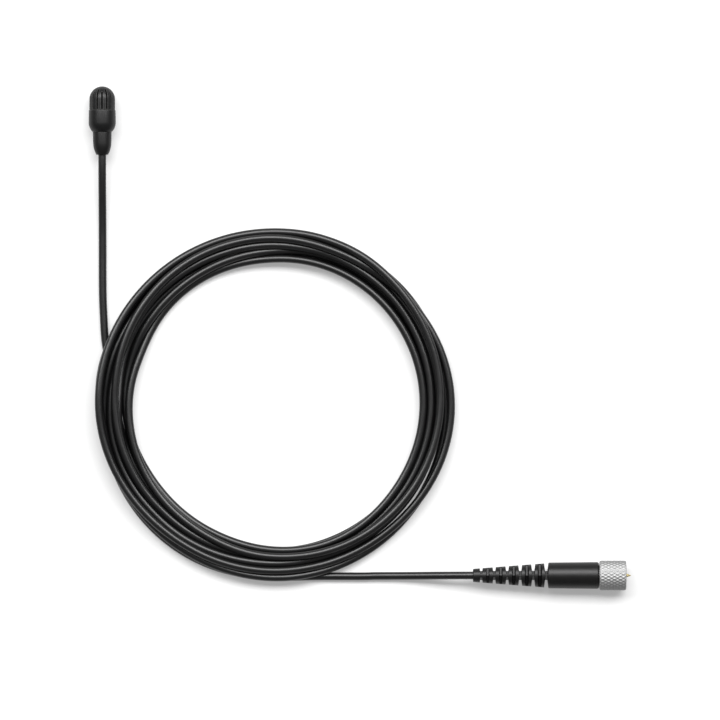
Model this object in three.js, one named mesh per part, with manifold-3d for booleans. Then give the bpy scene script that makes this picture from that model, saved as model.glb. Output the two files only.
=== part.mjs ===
// A lavalier microphone laid flat on a table: a small head with a slotted push-on cap, a thin cable
// wound into a round coil, and a miniature threaded coaxial plug. Millimetres, +Z up.
// The origin is on the table under the middle of the head. The head's front points along +Y and the
// plug's front along +X. Most pieces are turned, so they are drawn as [radius, height] outlines
// about +Y, and a group lays each assembly down on the table.

import * as THREE from "three";
import { mergeVertices } from "three/addons/utils/BufferGeometryUtils.js";
import Module from "manifold-3d";

const wasm = await Module();
wasm.setup();

// ---------------------------------------------------------------- driving dimensions

// Clearances
const SLIDE_FIT = 0.03; // radial, between the cap's skirt and the housing's bore
const SEAT_GAP = 0.03; // between pieces that are stacked, nested or glued
const TURN_FIT = 0.05; // around the captive coupling nut
const END_GAP = 0.3; // between the ends of the cable's stretches and what they meet

// Cable
const CABLE_DIAMETER = 1.6;
const CORE_DIAMETER = 1.0; // inner insulation
const CONDUCTOR_DIAMETER = 0.3;
const CABLE_LIFT = 0.02; // the cable's underside above the table

// Coil
const COIL_CENTRE_X = 35.5;
const COIL_CENTRE_Y = -58.3;
const COIL_MEAN_RADIUS = 32.9;
const COIL_WIDTH = 8.2;
const COIL_HEIGHT = 4.8;
const COIL_ROUNDING = 1.0;

// Cap
const CAP_LENGTH = 4.86;
const CAP_STEP = 0.105; // how far the cap's side stands inside the housing's front edge
const CAP_WALL = 0.35;
const CAP_RIM = 0.16; // solid band below the slots
const SKIRT_LENGTH = 1.2;
const SKIRT_WALL = 0.25;
const SLOT_COUNT = 16;
const SLOT_WIDTH = 0.35;
const SLOT_OVERCUT = 0.7; // how far the slot cutters reach beyond the cap's wall, inside and out
const LONG_SLOT_ANGLE = 38; // degrees from the cap's axis to the slot's upper end
const SHORT_SLOT_ANGLE = 56;
const SCREEN_THICKNESS = 0.08;

// Housing
const HOUSING_LENGTH = 4.5;
const HOUSING_FRONT_DIAMETER = 5.49;
const HOUSING_WALL = 0.345;
const HOUSING_BULGE = 0.04; // how far the widest ring stands out beyond the front's radius
const HOUSING_BULGE_SETBACK = 2.56; // from the housing's front edge back to the widest ring
const SHOULDER_TURN = 45; // degrees that the shoulder turns in by at the rear edge
const HOUSING_BASE = 1.6; // thickness of the rear wall
const HOUSING_REAR_DIAMETER = 3.92;

// Strain relief behind the housing
const RELIEF_LENGTH = 4.68;
const RELIEF_STEP = 0.025; // how far it stands inside the housing's rear edge
const RELIEF_TAPER = 0.06; // how much the radius shrinks before the nose begins
const RELIEF_NOSE = 2.5; // length of the rounded end
const NOSE_TURN = 35; // degrees that it turns in by at its tip
const RELIEF_TIP_WALL = 0.35;
const NECK_WALL = 0.35;
const NECK_LENGTH = 1.0;

// Capsule
const CAN_WALL = 0.12;
const CAN_LIP = 0.3; // how far the crimped rear edge turns in
const CAN_RECESS = 0.26; // from the housing's mouth to the can's face
const SOUND_HOLE_DIAMETER = 1.0;
const RING_WIDTH = 0.38;
const DIAPHRAGM_RING_HEIGHT = 0.15;
const DIAPHRAGM_THICKNESS = 0.04;
const SPACER_HEIGHT = 0.08;
const BACKPLATE_THICKNESS = 0.25;
const BACKPLATE_HOLES = 6;
const BACKPLATE_HOLE_DIAMETER = 0.28;
const BACKPLATE_HOLE_SETBACK = 0.38; // from the holder's ledge in to the holes' centres
const HOLDER_RIM = 0.32; // around the backplate
const HOLDER_LEDGE = 0.22; // how far the holder reaches under the backplate
const CONTACT_RING_WALL = 0.13;
const CONTACT_RING_HEIGHT = 0.42;
const BOARD_THICKNESS = 0.22;
const CHIP_LENGTH = 0.9;
const CHIP_WIDTH = 0.7;
const CHIP_HEIGHT = 0.3;
const CHIP_HEADROOM = 0.14; // between the chip and the backplate
const GASKET_WALL = 0.34; // between the can and the housing's bore
const GASKET_BELOW_CAN = 0.35;

// Cable end inside the head
const CRIMP_WALL = 0.3;
const CRIMP_LENGTH = 0.3;
const WIRE_DIAMETER = 0.2;
const WIRE_SPREAD = 1.1; // between the two wires where they reach the board
const WIRE_BEND_START = 0.3; // where the wires begin and end their step outwards, along their way
const WIRE_BEND_END = 0.7;

// Plug, measured along its axis from the thin end of its boot
const PLUG_START_X = 76.0;
const PLUG_AXIS_Y = -93.25;
const BOOT_LENGTH = 15.4;
const BOOT_TIP_WALL = 0.52; // around the cable at the thin end
const BOOT_STEP = 0.125; // how far the cone's thick end stands inside the sleeve's edge
const BOOT_WEB_WALL = 0.14; // plastic left around the cable's bore between two facing notches
const NOTCH_PITCH = 2.665; // between pairs across the boot; the pairs halfway are turned a quarter
const NOTCH_START = 1.69;
const NOTCH_FLOOR_WIDTH = 0.45;
const NOTCH_MOUTH_WIDTH = 0.85;
const NOTCH_OVERCUT = 0.3; // how far the cutters reach beyond the boot
const SLEEVE_LENGTH = 10.43;
const SLEEVE_WALL = 0.72; // around the connector's shell, at the sleeve's thick front end
const SLEEVE_TAPER = 0.1; // how much thinner its radius is at the rear
const SLEEVE_ROUNDING = 0.4;
const BARREL_DEPTH = 1.0; // from the sleeve's rear end forward to the barrel
const JACKET_SETBACK = 0.8; // from the barrel back to the jacket's cut end
const BARREL_LENGTH = 4.2;
const BARREL_WALL = 0.3;
const BRAID_THICKNESS = 0.2;
const FERRULE_WALL = 0.25;
const FERRULE_LENGTH = 3.6;
const SHELL_FLANGE_CLEARANCE = 0.115; // radial, inside the nut's thread
const SHELL_FLANGE_WIDTH = 0.3; // how far the flange stands out of the shell
const SHELL_NOSE_STEP = 0.25; // how far the nose stands inside the shell's side
const SHELL_NOSE_WALL = 0.45;
const SHELL_NOSE_RECESS = 0.5; // from the nut's front face back to the shell's nose
const SHELL_FLANGE_HEIGHT = 0.6;
const NUT_LENGTH = 5.5;
const NUT_WALL = 0.635; // from the thread out to the knurl
const NUT_ROUNDING = 0.4;
const NUT_THREAD_DIAMETER = 4.83;
const NUT_LIP = 0.5;
const NUT_GAP = 0.1; // between the sleeve's front and the nut
const PIN_DIAMETER = 0.84;
const PIN_REACH = 0.96; // how far the pin stands out of the nut
const PIN_TIP_DIAMETER = 0.1;
const PIN_REAR_INSET = 0.4; // from the shell's shoulder to the pin's rear end
const CUP_DEPTH = 1.0;
const INSULATOR_INSET = 0.7; // from the shell's nose back to the insulator's face

// Facets around a turned piece or a cable, and steps along an arc or a route
const FINE_SIDES = 32;
const SMALL_SIDES = 20;
const CABLE_SIDES = 8;
const WIRE_SIDES = 6;
const CONDUCTOR_SIDES = 12;
const COIL_SIDES = 64;
const DOME_STEPS = 7;
const SCREEN_STEPS = 5;
const SHOULDER_STEPS = 6;
const WIRE_STEPS = 6;
const TAIL_STEPS = 12;

// ---------------------------------------------------------------- finishes

const finish = (color, roughness, metalness = 0) =>
  new THREE.MeshStandardMaterial({ color, roughness, metalness });

const satinBlack = finish(0x1c1c1d, 0.45, 0.3);
const softBlack = finish(0x161616, 0.6);
const jacketBlack = finish(0x181818, 0.5);
const knurledNickel = finish(0xc4c4c0, 0.3, 1);
const steel = finish(0xb0b0ae, 0.35, 1);
const gold = finish(0xb59a55, 0.3, 1);
const copper = finish(0xb87333, 0.35, 1);
const whiteResin = finish(0xeeeae2, 0.5);
const clearFilm = finish(0xd8d2c0, 0.3, 0.4);
const boardGreen = finish(0x1f5b34, 0.6);
const chipBlack = finish(0x151515, 0.5);
const darkRubber = finish(0x202020, 0.8);

// ---------------------------------------------------------------- geometry helpers

/** A closed body turned about +Y. The outline's outer side is listed upwards. */
function turned(corners, sides) {
  const outline = corners.map(([radius, height]) => new THREE.Vector2(radius, height));
  return new THREE.LatheGeometry(outline, sides);
}

/** A plain tube or ring about +Y. */
function ring(inner, outer, low, high, sides) {
  const outline = [
    [inner, low],
    [outer, low],
    [outer, high],
    [inner, high],
    [inner, low],
  ];
  return turned(outline, sides);
}

/** A plain solid disc or rod about +Y. */
function disc(radius, low, high, sides) {
  const outline = [
    [0, low],
    [radius, low],
    [radius, high],
    [0, high],
  ];
  return turned(outline, sides);
}

/** Points of an elliptical arc in an outline, between two angles in degrees from the radius axis. */
function arc(centreRadius, centreHeight, reachOut, reachUp, from, to, steps) {
  return Array.from({ length: steps + 1 }, (_, i) => {
    const angle = THREE.MathUtils.degToRad(from + ((to - from) * i) / steps);
    const radius = centreRadius + reachOut * Math.cos(angle);
    return [Math.max(radius, 0), centreHeight + reachUp * Math.sin(angle)];
  });
}

/** An arc that turns in by this many degrees from a wide ring to a narrower end. */
function taperCurve([endRadius, endHeight], [wideRadius, wideHeight], degrees, steps) {
  const angle = THREE.MathUtils.degToRad(degrees);
  const reachOut = (wideRadius - endRadius) / (1 - Math.cos(angle));
  const reachUp = (wideHeight - endHeight) / Math.sin(angle);
  return arc(wideRadius - reachOut, wideHeight, reachOut, reachUp, -degrees, 0, steps);
}

/** A round wire or cable along a smooth curve through the points. */
function roundTube(points, radius, sides, steps) {
  const corners = Array.from({ length: sides }, (_, i) => {
    const angle = (2 * Math.PI * i) / sides;
    return new THREE.Vector2(radius * Math.cos(angle), radius * Math.sin(angle));
  });
  const route = new THREE.CatmullRomCurve3(points.map((p) => new THREE.Vector3(...p)));
  const options = { extrudePath: route, steps, bevelEnabled: false };
  return new THREE.ExtrudeGeometry(new THREE.Shape(corners), options);
}

/** A flat shape of the given thickness, centred on its own plane. */
function slab(corners, thickness) {
  const shape = new THREE.Shape(corners.map(([x, y]) => new THREE.Vector2(x, y)));
  const geometry = new THREE.ExtrudeGeometry(shape, { depth: thickness, bevelEnabled: false });
  return geometry.translate(0, 0, -thickness / 2);
}

function toSolid(geometry) {
  const bare = geometry.clone();
  bare.deleteAttribute("normal");
  bare.deleteAttribute("uv");
  const merged = mergeVertices(bare, 1e-4);
  const mesh = new wasm.Mesh({
    numProp: 3,
    vertProperties: merged.attributes.position.array,
    triVerts: new Uint32Array(merged.index.array),
  });
  return new wasm.Manifold(mesh);
}

function toGeometry(solid) {
  const mesh = solid.getMesh();
  const geometry = new THREE.BufferGeometry();
  geometry.setAttribute("position", new THREE.BufferAttribute(mesh.vertProperties, 3));
  geometry.setIndex(new THREE.BufferAttribute(mesh.triVerts, 1));
  return geometry;
}

/** The body with every cutter taken out of it. */
function cut(body, cutters) {
  let solid = toSolid(body);
  for (const cutter of cutters) {
    solid = solid.subtract(toSolid(cutter));
  }
  return toGeometry(solid);
}

function addPiece(group, name, geometry, material) {
  const piece = new THREE.Mesh(geometry, material);
  piece.name = name;
  group.add(piece);
}

// ---------------------------------------------------------------- sizes that follow

const cableRadius = CABLE_DIAMETER / 2;
const cableBore = cableRadius + SEAT_GAP;
const cableHeight = cableRadius + CABLE_LIFT;

const headLength = CAP_LENGTH + HOUSING_LENGTH + RELIEF_LENGTH;
const headFront = headLength / 2;
const headRear = -headLength / 2;
const housingFront = headFront - CAP_LENGTH;
const housingRear = housingFront - HOUSING_LENGTH;
const housingFrontRadius = HOUSING_FRONT_DIAMETER / 2;
const housingWidestRadius = housingFrontRadius + HOUSING_BULGE;
const housingWidest = housingFront - HOUSING_BULGE_SETBACK;
const housingBore = housingFrontRadius - HOUSING_WALL;
const housingFloor = housingRear + HOUSING_BASE;

const capRadius = housingFrontRadius - CAP_STEP;
const capBore = capRadius - CAP_WALL;
const domeCentre = headFront - capRadius;
const capLedge = housingFront + SEAT_GAP;
const skirtRadius = housingBore - SLIDE_FIT;
const skirtBore = skirtRadius - SKIRT_WALL;
const skirtEnd = housingFront - SKIRT_LENGTH;

const canRadius = housingBore - GASKET_WALL - 2 * SEAT_GAP;
const canFront = housingFront - CAN_RECESS;
const stackRadius = canRadius - CAN_WALL - SEAT_GAP;
const stackBore = stackRadius - RING_WIDTH;
const backplateRadius = stackRadius - HOLDER_RIM - SEAT_GAP;
const ledgeBore = backplateRadius - HOLDER_LEDGE;

// The capsule's stack, from the inside of the can's face back
const frameTop = canFront - CAN_WALL - SEAT_GAP;
const frameLow = frameTop - DIAPHRAGM_RING_HEIGHT;
const filmTop = frameLow - SEAT_GAP;
const filmLow = filmTop - DIAPHRAGM_THICKNESS;
const spacerTop = filmLow - SEAT_GAP;
const spacerLow = spacerTop - SPACER_HEIGHT;
const plateTop = spacerLow - SEAT_GAP;
const plateLow = plateTop - BACKPLATE_THICKNESS;
const chipLow = plateLow - CHIP_HEADROOM - CHIP_HEIGHT;
const boardTop = chipLow - SEAT_GAP;
const boardLow = boardTop - BOARD_THICKNESS;
const canRear = boardLow - SEAT_GAP - CAN_WALL;

const neckRadius = cableBore + NECK_WALL;
const neckEnd = housingRear + NECK_LENGTH;
const crimpFront = neckEnd + SEAT_GAP + CRIMP_LENGTH;

const threadRadius = NUT_THREAD_DIAMETER / 2;
const nutRadius = threadRadius + NUT_WALL;
const flangeRadius = threadRadius - SHELL_FLANGE_CLEARANCE;
const shellRadius = flangeRadius - SHELL_FLANGE_WIDTH;
const noseRadius = shellRadius - SHELL_NOSE_STEP;
const shellBore = noseRadius - SHELL_NOSE_WALL;
const sleeveRadius = shellRadius + SEAT_GAP + SLEEVE_WALL;
const sleeveRearRadius = sleeveRadius - SLEEVE_TAPER;
const sleeveEnd = BOOT_LENGTH + SLEEVE_LENGTH;
const nutRear = sleeveEnd + NUT_GAP;
const nutFront = nutRear + NUT_LENGTH;
const coreBore = CORE_DIAMETER / 2 + SEAT_GAP;
const barrelRadius = coreBore + BARREL_WALL;
const barrelStart = BOOT_LENGTH + BARREL_DEPTH;
const barrelEnd = barrelStart + BARREL_LENGTH;
const jacketEndInBoot = barrelStart - JACKET_SETBACK;
const braidBore = barrelRadius + SEAT_GAP;
const ferruleBore = braidBore + BRAID_THICKNESS + SEAT_GAP;
const ferruleRadius = ferruleBore + FERRULE_WALL;
const shellNose = nutFront - SHELL_NOSE_RECESS;
const shellShoulder = barrelEnd + BARREL_WALL;
const lipEnd = nutRear + NUT_LIP;
const insulatorFront = shellNose - INSULATOR_INSET;
const pinRadius = PIN_DIAMETER / 2;
const pinRear = shellShoulder + PIN_REAR_INSET;
const conductorRadius = CONDUCTOR_DIAMETER / 2;

// ---------------------------------------------------------------- the head's casing

/** Cutter for one slot: a thin blade that leaves the cap through its side. */
function slotBlade(topAngle, turn) {
  const polar = THREE.MathUtils.degToRad(topAngle);
  const insideRadius = capBore - SLOT_OVERCUT;
  const outsideRadius = capRadius + SLOT_OVERCUT;
  const slotEnd = housingFront + CAP_RIM;
  const blade = [
    [insideRadius * Math.sin(polar), slotEnd],
    [outsideRadius, slotEnd],
    [outsideRadius, domeCentre + outsideRadius * Math.cos(polar)],
    [outsideRadius * Math.sin(polar), domeCentre + outsideRadius * Math.cos(polar)],
    [insideRadius * Math.sin(polar), domeCentre + insideRadius * Math.cos(polar)],
  ];
  return slab(blade, SLOT_WIDTH).rotateY(turn);
}

function frontCap() {
  const outside = arc(0, domeCentre, capRadius, capRadius, 0, 90, DOME_STEPS);
  const inside = arc(0, domeCentre, capBore, capBore, 90, 0, DOME_STEPS);
  const shell = turned(
    [
      ...inside,
      [capBore, capLedge + CAP_RIM],
      [skirtBore, capLedge],
      [skirtBore, skirtEnd],
      [skirtRadius, skirtEnd],
      [skirtRadius, capLedge],
      [capRadius, capLedge],
      ...outside,
    ],
    FINE_SIDES,
  );
  const blades = [];
  for (let i = 0; i < SLOT_COUNT; i++) {
    const topAngle = i % 2 ? LONG_SLOT_ANGLE : SHORT_SLOT_ANGLE;
    const turn = (2 * Math.PI * i) / SLOT_COUNT - Math.PI / 2;
    blades.push(slotBlade(topAngle, turn));
  }
  return cut(shell, blades);
}

/** A thin dome of fine mesh that lines the cap and stands on the cap's inner ledge. */
function capScreen() {
  const outer = capBore - SEAT_GAP;
  const inner = outer - SCREEN_THICKNESS;
  const foot = capLedge + CAP_RIM + SEAT_GAP;
  return turned(
    [
      ...arc(0, domeCentre, inner, inner, 90, 0, SCREEN_STEPS),
      [inner, foot],
      [outer, foot],
      ...arc(0, domeCentre, outer, outer, 0, 90, SCREEN_STEPS),
    ],
    SMALL_SIDES,
  );
}

function headHousing() {
  const rearRadius = HOUSING_REAR_DIAMETER / 2;
  const shoulder = taperCurve(
    [rearRadius, housingRear],
    [housingWidestRadius, housingWidest],
    SHOULDER_TURN,
    SHOULDER_STEPS,
  );
  const neckBore = neckRadius + SEAT_GAP;
  return turned(
    [
      [neckBore, housingRear],
      ...shoulder,
      [housingFrontRadius, housingFront],
      [housingBore, housingFront],
      [housingBore, housingFloor],
      [neckBore, housingFloor],
      [neckBore, housingRear],
    ],
    FINE_SIDES,
  );
}

/** The tapered grip behind the housing, with the neck that plugs into it. */
function strainRelief() {
  const front = housingRear - SEAT_GAP;
  const radius = HOUSING_REAR_DIAMETER / 2 - RELIEF_STEP;
  const noseRadius = radius - RELIEF_TAPER;
  const tipRadius = cableBore + RELIEF_TIP_WALL;
  const nose = taperCurve(
    [tipRadius, headRear],
    [noseRadius, headRear + RELIEF_NOSE],
    NOSE_TURN,
    SHOULDER_STEPS,
  );
  return turned(
    [
      [cableBore, headRear],
      ...nose,
      [radius, front],
      [neckRadius, front],
      [neckRadius, neckEnd],
      [cableBore, neckEnd],
      [cableBore, headRear],
    ],
    FINE_SIDES,
  );
}

// ---------------------------------------------------------------- the capsule

/** Adds the stack that the can holds, from its front face back. */
function addCapsule(group) {
  const lipBore = canRadius - CAN_WALL - CAN_LIP;
  const can = turned(
    [
      [SOUND_HOLE_DIAMETER / 2, canFront - CAN_WALL],
      [canRadius - CAN_WALL, canFront - CAN_WALL],
      [canRadius - CAN_WALL, canRear + CAN_WALL],
      [lipBore, canRear + CAN_WALL],
      [lipBore, canRear],
      [canRadius, canRear],
      [canRadius, canFront],
      [SOUND_HOLE_DIAMETER / 2, canFront],
      [SOUND_HOLE_DIAMETER / 2, canFront - CAN_WALL],
    ],
    FINE_SIDES,
  );
  addPiece(group, "capsule_can", can, steel);

  const frame = ring(stackBore, stackRadius, frameLow, frameTop, SMALL_SIDES);
  addPiece(group, "diaphragm_frame", frame, gold);

  addPiece(group, "diaphragm", disc(stackRadius, filmLow, filmTop, SMALL_SIDES), clearFilm);

  const spacer = ring(stackBore, stackRadius, spacerLow, spacerTop, SMALL_SIDES);
  addPiece(group, "spacer_ring", spacer, clearFilm);

  addPiece(group, "backplate", backplate(), gold);
  addPiece(group, "circuit_board", disc(stackRadius, boardLow, boardTop, SMALL_SIDES), boardGreen);

  const pocket = backplateRadius + SEAT_GAP;
  const holder = turned(
    [
      [ledgeBore, boardTop + SEAT_GAP],
      [stackRadius, boardTop + SEAT_GAP],
      [stackRadius, plateTop],
      [pocket, plateTop],
      [pocket, plateLow - SEAT_GAP],
      [ledgeBore, plateLow - SEAT_GAP],
      [ledgeBore, boardTop + SEAT_GAP],
    ],
    SMALL_SIDES,
  );
  addPiece(group, "backplate_holder", holder, whiteResin);

  const contactRadius = (ledgeBore - SEAT_GAP) * Math.cos(Math.PI / SMALL_SIDES);
  const contactTop = plateLow - SEAT_GAP;
  const contactLow = Math.max(contactTop - CONTACT_RING_HEIGHT, boardTop + SEAT_GAP);
  const contact = ring(
    contactRadius - CONTACT_RING_WALL,
    contactRadius,
    contactLow,
    contactTop,
    SMALL_SIDES,
  );
  addPiece(group, "gate_contact_ring", contact, gold);

  const chip = new THREE.BoxGeometry(CHIP_LENGTH, CHIP_HEIGHT, CHIP_WIDTH);
  chip.translate(0, chipLow + CHIP_HEIGHT / 2, 0);
  addPiece(group, "amplifier_chip", chip, chipBlack);
}

function backplate() {
  const plate = new THREE.Shape();
  plate.absarc(0, 0, backplateRadius, 0, 2 * Math.PI);
  const holeCircle = ledgeBore - BACKPLATE_HOLE_SETBACK;
  for (let i = 0; i < BACKPLATE_HOLES; i++) {
    const angle = (2 * Math.PI * i) / BACKPLATE_HOLES;
    const x = holeCircle * Math.cos(angle);
    const y = holeCircle * Math.sin(angle);
    const hole = new THREE.Path();
    hole.absarc(x, y, BACKPLATE_HOLE_DIAMETER / 2, 0, 2 * Math.PI, true);
    plate.holes.push(hole);
  }
  const options = { depth: BACKPLATE_THICKNESS, bevelEnabled: false, curveSegments: 8 };
  const geometry = new THREE.ExtrudeGeometry(plate, options);
  return geometry.rotateX(-Math.PI / 2).translate(0, plateLow, 0);
}

/** Rubber ring that seals and holds the can in the housing, between the skirt and the floor. */
function capsuleGasket() {
  const low = Math.max(canRear - GASKET_BELOW_CAN, housingFloor + SEAT_GAP);
  const inner = canRadius + SEAT_GAP;
  const outer = housingBore - SEAT_GAP;
  const seat = canRadius - CAN_LIP;
  return turned(
    [
      [seat, low],
      [outer, low],
      [outer, skirtEnd - SEAT_GAP],
      [inner, skirtEnd - SEAT_GAP],
      [inner, canRear - SEAT_GAP],
      [seat, canRear - SEAT_GAP],
      [seat, low],
    ],
    FINE_SIDES,
  );
}

/** Adds the end of the cable that is held in the relief, its crimp and its two soldered wires. */
function addHeadWiring(group) {
  const jacketEnd = crimpFront + SEAT_GAP;
  const jacket = disc(cableRadius, headRear, jacketEnd, SMALL_SIDES);
  addPiece(group, "cable_end_in_head", jacket, jacketBlack);

  const crimpBore = (cableRadius + SEAT_GAP) / Math.cos(Math.PI / SMALL_SIDES);
  const crimp = ring(crimpBore, crimpBore + CRIMP_WALL, neckEnd + SEAT_GAP, crimpFront, SMALL_SIDES);
  addPiece(group, "cable_crimp", crimp, steel);

  const start = jacketEnd + SEAT_GAP;
  const reach = canRear + CAN_WALL - start;
  for (const [name, side, material] of [
    ["signal_wire", 1, copper],
    ["ground_wire", -1, steel],
  ]) {
    const near = (side * WIRE_SPREAD) / 4;
    const far = (side * WIRE_SPREAD) / 2;
    const route = [
      [near, start, 0],
      [near, start + reach * WIRE_BEND_START, 0],
      [far, start + reach * WIRE_BEND_END, 0],
      [far, start + reach, 0],
    ];
    addPiece(group, name, roundTube(route, WIRE_DIAMETER / 2, WIRE_SIDES, WIRE_STEPS), material);
  }
}

function microphoneHead() {
  const head = new THREE.Group();
  addPiece(head, "front_cap", frontCap(), satinBlack);
  addPiece(head, "cap_screen", capScreen(), steel);
  addPiece(head, "head_housing", headHousing(), satinBlack);
  addPiece(head, "strain_relief", strainRelief(), softBlack);
  addPiece(head, "capsule_gasket", capsuleGasket(), darkRubber);
  addCapsule(head);
  addHeadWiring(head);
  head.position.z = housingWidestRadius;
  return head;
}

// ---------------------------------------------------------------- the plug

/** Cutters for two facing notches across the boot; each notch is narrower at its floor. */
function notchPair(along, quarterTurn) {
  const floor = cableBore + BOOT_WEB_WALL;
  const mouth = sleeveRadius + NOTCH_OVERCUT;
  const halfFloor = NOTCH_FLOOR_WIDTH / 2;
  const halfMouth = NOTCH_MOUTH_WIDTH / 2;
  const depth = 2 * mouth;
  return [1, -1].map((side) => {
    const corners = [
      [side * (floor + halfFloor / 2), along - side * halfFloor],
      [side * mouth, along - side * halfMouth],
      [side * mouth, along + side * halfMouth],
      [side * (floor + halfFloor / 2), along + side * halfFloor],
      [side * floor, along + (side * halfFloor) / 2],
      [side * floor, along - (side * halfFloor) / 2],
    ];
    const cutter = slab(corners, depth);
    return quarterTurn ? cutter.rotateY(Math.PI / 2) : cutter;
  });
}

/** Sleeve and notched strain relief, moulded in one piece over the connector. */
function plugBoot() {
  const cavity = ferruleRadius + SEAT_GAP;
  const shellCavity = shellRadius + SEAT_GAP;
  const jacketEnd = jacketEndInBoot + SEAT_GAP;
  const body = turned(
    [
      [cableBore, 0],
      [cableBore + BOOT_TIP_WALL, 0],
      [sleeveRearRadius - BOOT_STEP, BOOT_LENGTH - SLEEVE_ROUNDING],
      [sleeveRearRadius, BOOT_LENGTH],
      [sleeveRadius, sleeveEnd - SLEEVE_ROUNDING],
      [sleeveRadius - SLEEVE_ROUNDING, sleeveEnd],
      [shellCavity, sleeveEnd],
      [shellCavity, barrelEnd - SEAT_GAP],
      [cavity, barrelEnd - SEAT_GAP],
      [cavity, jacketEnd],
      [cableBore, jacketEnd],
      [cableBore, 0],
    ],
    FINE_SIDES,
  );
  const cutters = [];
  for (let along = NOTCH_START; along < BOOT_LENGTH; along += NOTCH_PITCH) {
    const halfway = along + NOTCH_PITCH / 2;
    cutters.push(...notchPair(along, false));
    if (halfway < BOOT_LENGTH) cutters.push(...notchPair(halfway, true));
  }
  return cut(body, cutters);
}

/** The connector's metal body: rear barrel, body, the flange behind which the nut turns, and nose. */
function connectorShell() {
  const flangeRear = lipEnd + TURN_FIT;
  const flangeFront = flangeRear + SHELL_FLANGE_HEIGHT;
  return turned(
    [
      [coreBore, barrelStart],
      [barrelRadius, barrelStart],
      [barrelRadius, barrelEnd],
      [shellRadius, barrelEnd],
      [shellRadius, flangeRear],
      [flangeRadius, flangeRear],
      [flangeRadius, flangeFront],
      [noseRadius, flangeFront],
      [noseRadius, shellNose],
      [shellBore, shellNose],
      [shellBore, shellShoulder],
      [coreBore, shellShoulder],
      [coreBore, barrelStart],
    ],
    FINE_SIDES,
  );
}

/** The ring that turns freely on the shell and screws onto the socket. */
function couplingNut() {
  const lipBore = (shellRadius + TURN_FIT) / Math.cos(Math.PI / FINE_SIDES);
  return turned(
    [
      [lipBore, nutRear],
      [nutRadius - NUT_ROUNDING, nutRear],
      [nutRadius, nutRear + NUT_ROUNDING],
      [nutRadius, nutFront - NUT_ROUNDING],
      [nutRadius - NUT_ROUNDING, nutFront],
      [threadRadius, nutFront],
      [threadRadius, lipEnd],
      [lipBore, lipEnd],
      [lipBore, nutRear],
    ],
    FINE_SIDES,
  );
}

function centrePin() {
  const cupRadius = conductorRadius + SEAT_GAP;
  const cup = pinRear + CUP_DEPTH;
  return turned(
    [
      [0, cup],
      [cupRadius, cup],
      [cupRadius, pinRear],
      [pinRadius, pinRear],
      [pinRadius, nutFront],
      [PIN_TIP_DIAMETER / 2, nutFront + PIN_REACH],
      [0, nutFront + PIN_REACH],
    ],
    SMALL_SIDES,
  );
}

/** The cable's screen, opened out from the core and over the barrel. */
function shieldBraid() {
  const start = jacketEndInBoot + SEAT_GAP;
  const flareEnd = barrelStart - SEAT_GAP;
  const end = barrelStart + FERRULE_LENGTH + SEAT_GAP;
  return turned(
    [
      [coreBore, start],
      [coreBore + BRAID_THICKNESS, start],
      [braidBore + BRAID_THICKNESS, flareEnd],
      [braidBore + BRAID_THICKNESS, end],
      [braidBore, end],
      [braidBore, flareEnd],
      [coreBore, start + BRAID_THICKNESS],
      [coreBore, start],
    ],
    SMALL_SIDES,
  );
}

/** Adds the cable's end inside the boot: jacket, stripped core and bare conductor. */
function addPlugWiring(group) {
  const jacket = disc(cableRadius, 0, jacketEndInBoot, SMALL_SIDES);
  addPiece(group, "cable_end_in_boot", jacket, jacketBlack);

  const coreStart = jacketEndInBoot + SEAT_GAP;
  const coreEnd = shellShoulder - SEAT_GAP;
  const core = ring(
    conductorRadius + SEAT_GAP,
    CORE_DIAMETER / 2,
    coreStart,
    coreEnd,
    SMALL_SIDES,
  );
  addPiece(group, "core_insulation", core, whiteResin);

  const conductorEnd = pinRear + CUP_DEPTH - SEAT_GAP;
  addPiece(
    group,
    "core_conductor",
    disc(conductorRadius, coreStart, conductorEnd, CONDUCTOR_SIDES),
    copper,
  );
}

function coaxialPlug() {
  const plug = new THREE.Group();
  addPiece(plug, "plug_boot", plugBoot(), softBlack);
  addPlugWiring(plug);
  addPiece(plug, "shield_braid", shieldBraid(), copper);
  const ferrule = ring(
    ferruleBore,
    ferruleRadius,
    barrelStart,
    barrelStart + FERRULE_LENGTH,
    SMALL_SIDES,
  );
  addPiece(plug, "crimp_ferrule", ferrule, steel);
  addPiece(plug, "connector_shell", connectorShell(), knurledNickel);
  const insulator = ring(
    (pinRadius + SEAT_GAP) / Math.cos(Math.PI / SMALL_SIDES),
    (shellBore - SEAT_GAP) * Math.cos(Math.PI / SMALL_SIDES),
    shellShoulder + SEAT_GAP,
    insulatorFront,
    SMALL_SIDES,
  );
  addPiece(plug, "pin_insulator", insulator, whiteResin);
  addPiece(plug, "centre_pin", centrePin(), gold);
  addPiece(plug, "coupling_nut", couplingNut(), knurledNickel);
  plug.rotation.z = -Math.PI / 2;
  plug.position.set(PLUG_START_X, PLUG_AXIS_Y, nutRadius);
  return plug;
}

// ---------------------------------------------------------------- the free cable

/** The coil's outer shape: one solid ring lying on the table. */
function cableCoil() {
  const inner = COIL_MEAN_RADIUS - COIL_WIDTH / 2;
  const outer = COIL_MEAN_RADIUS + COIL_WIDTH / 2;
  const coil = turned(
    [
      [inner, 0],
      [outer, 0],
      [outer, COIL_HEIGHT - COIL_ROUNDING],
      [outer - COIL_ROUNDING, COIL_HEIGHT],
      [inner + COIL_ROUNDING, COIL_HEIGHT],
      [inner, COIL_HEIGHT - COIL_ROUNDING],
      [inner, 0],
    ],
    COIL_SIDES,
  );
  return coil.rotateX(Math.PI / 2).translate(COIL_CENTRE_X, COIL_CENTRE_Y, 0);
}

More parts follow.
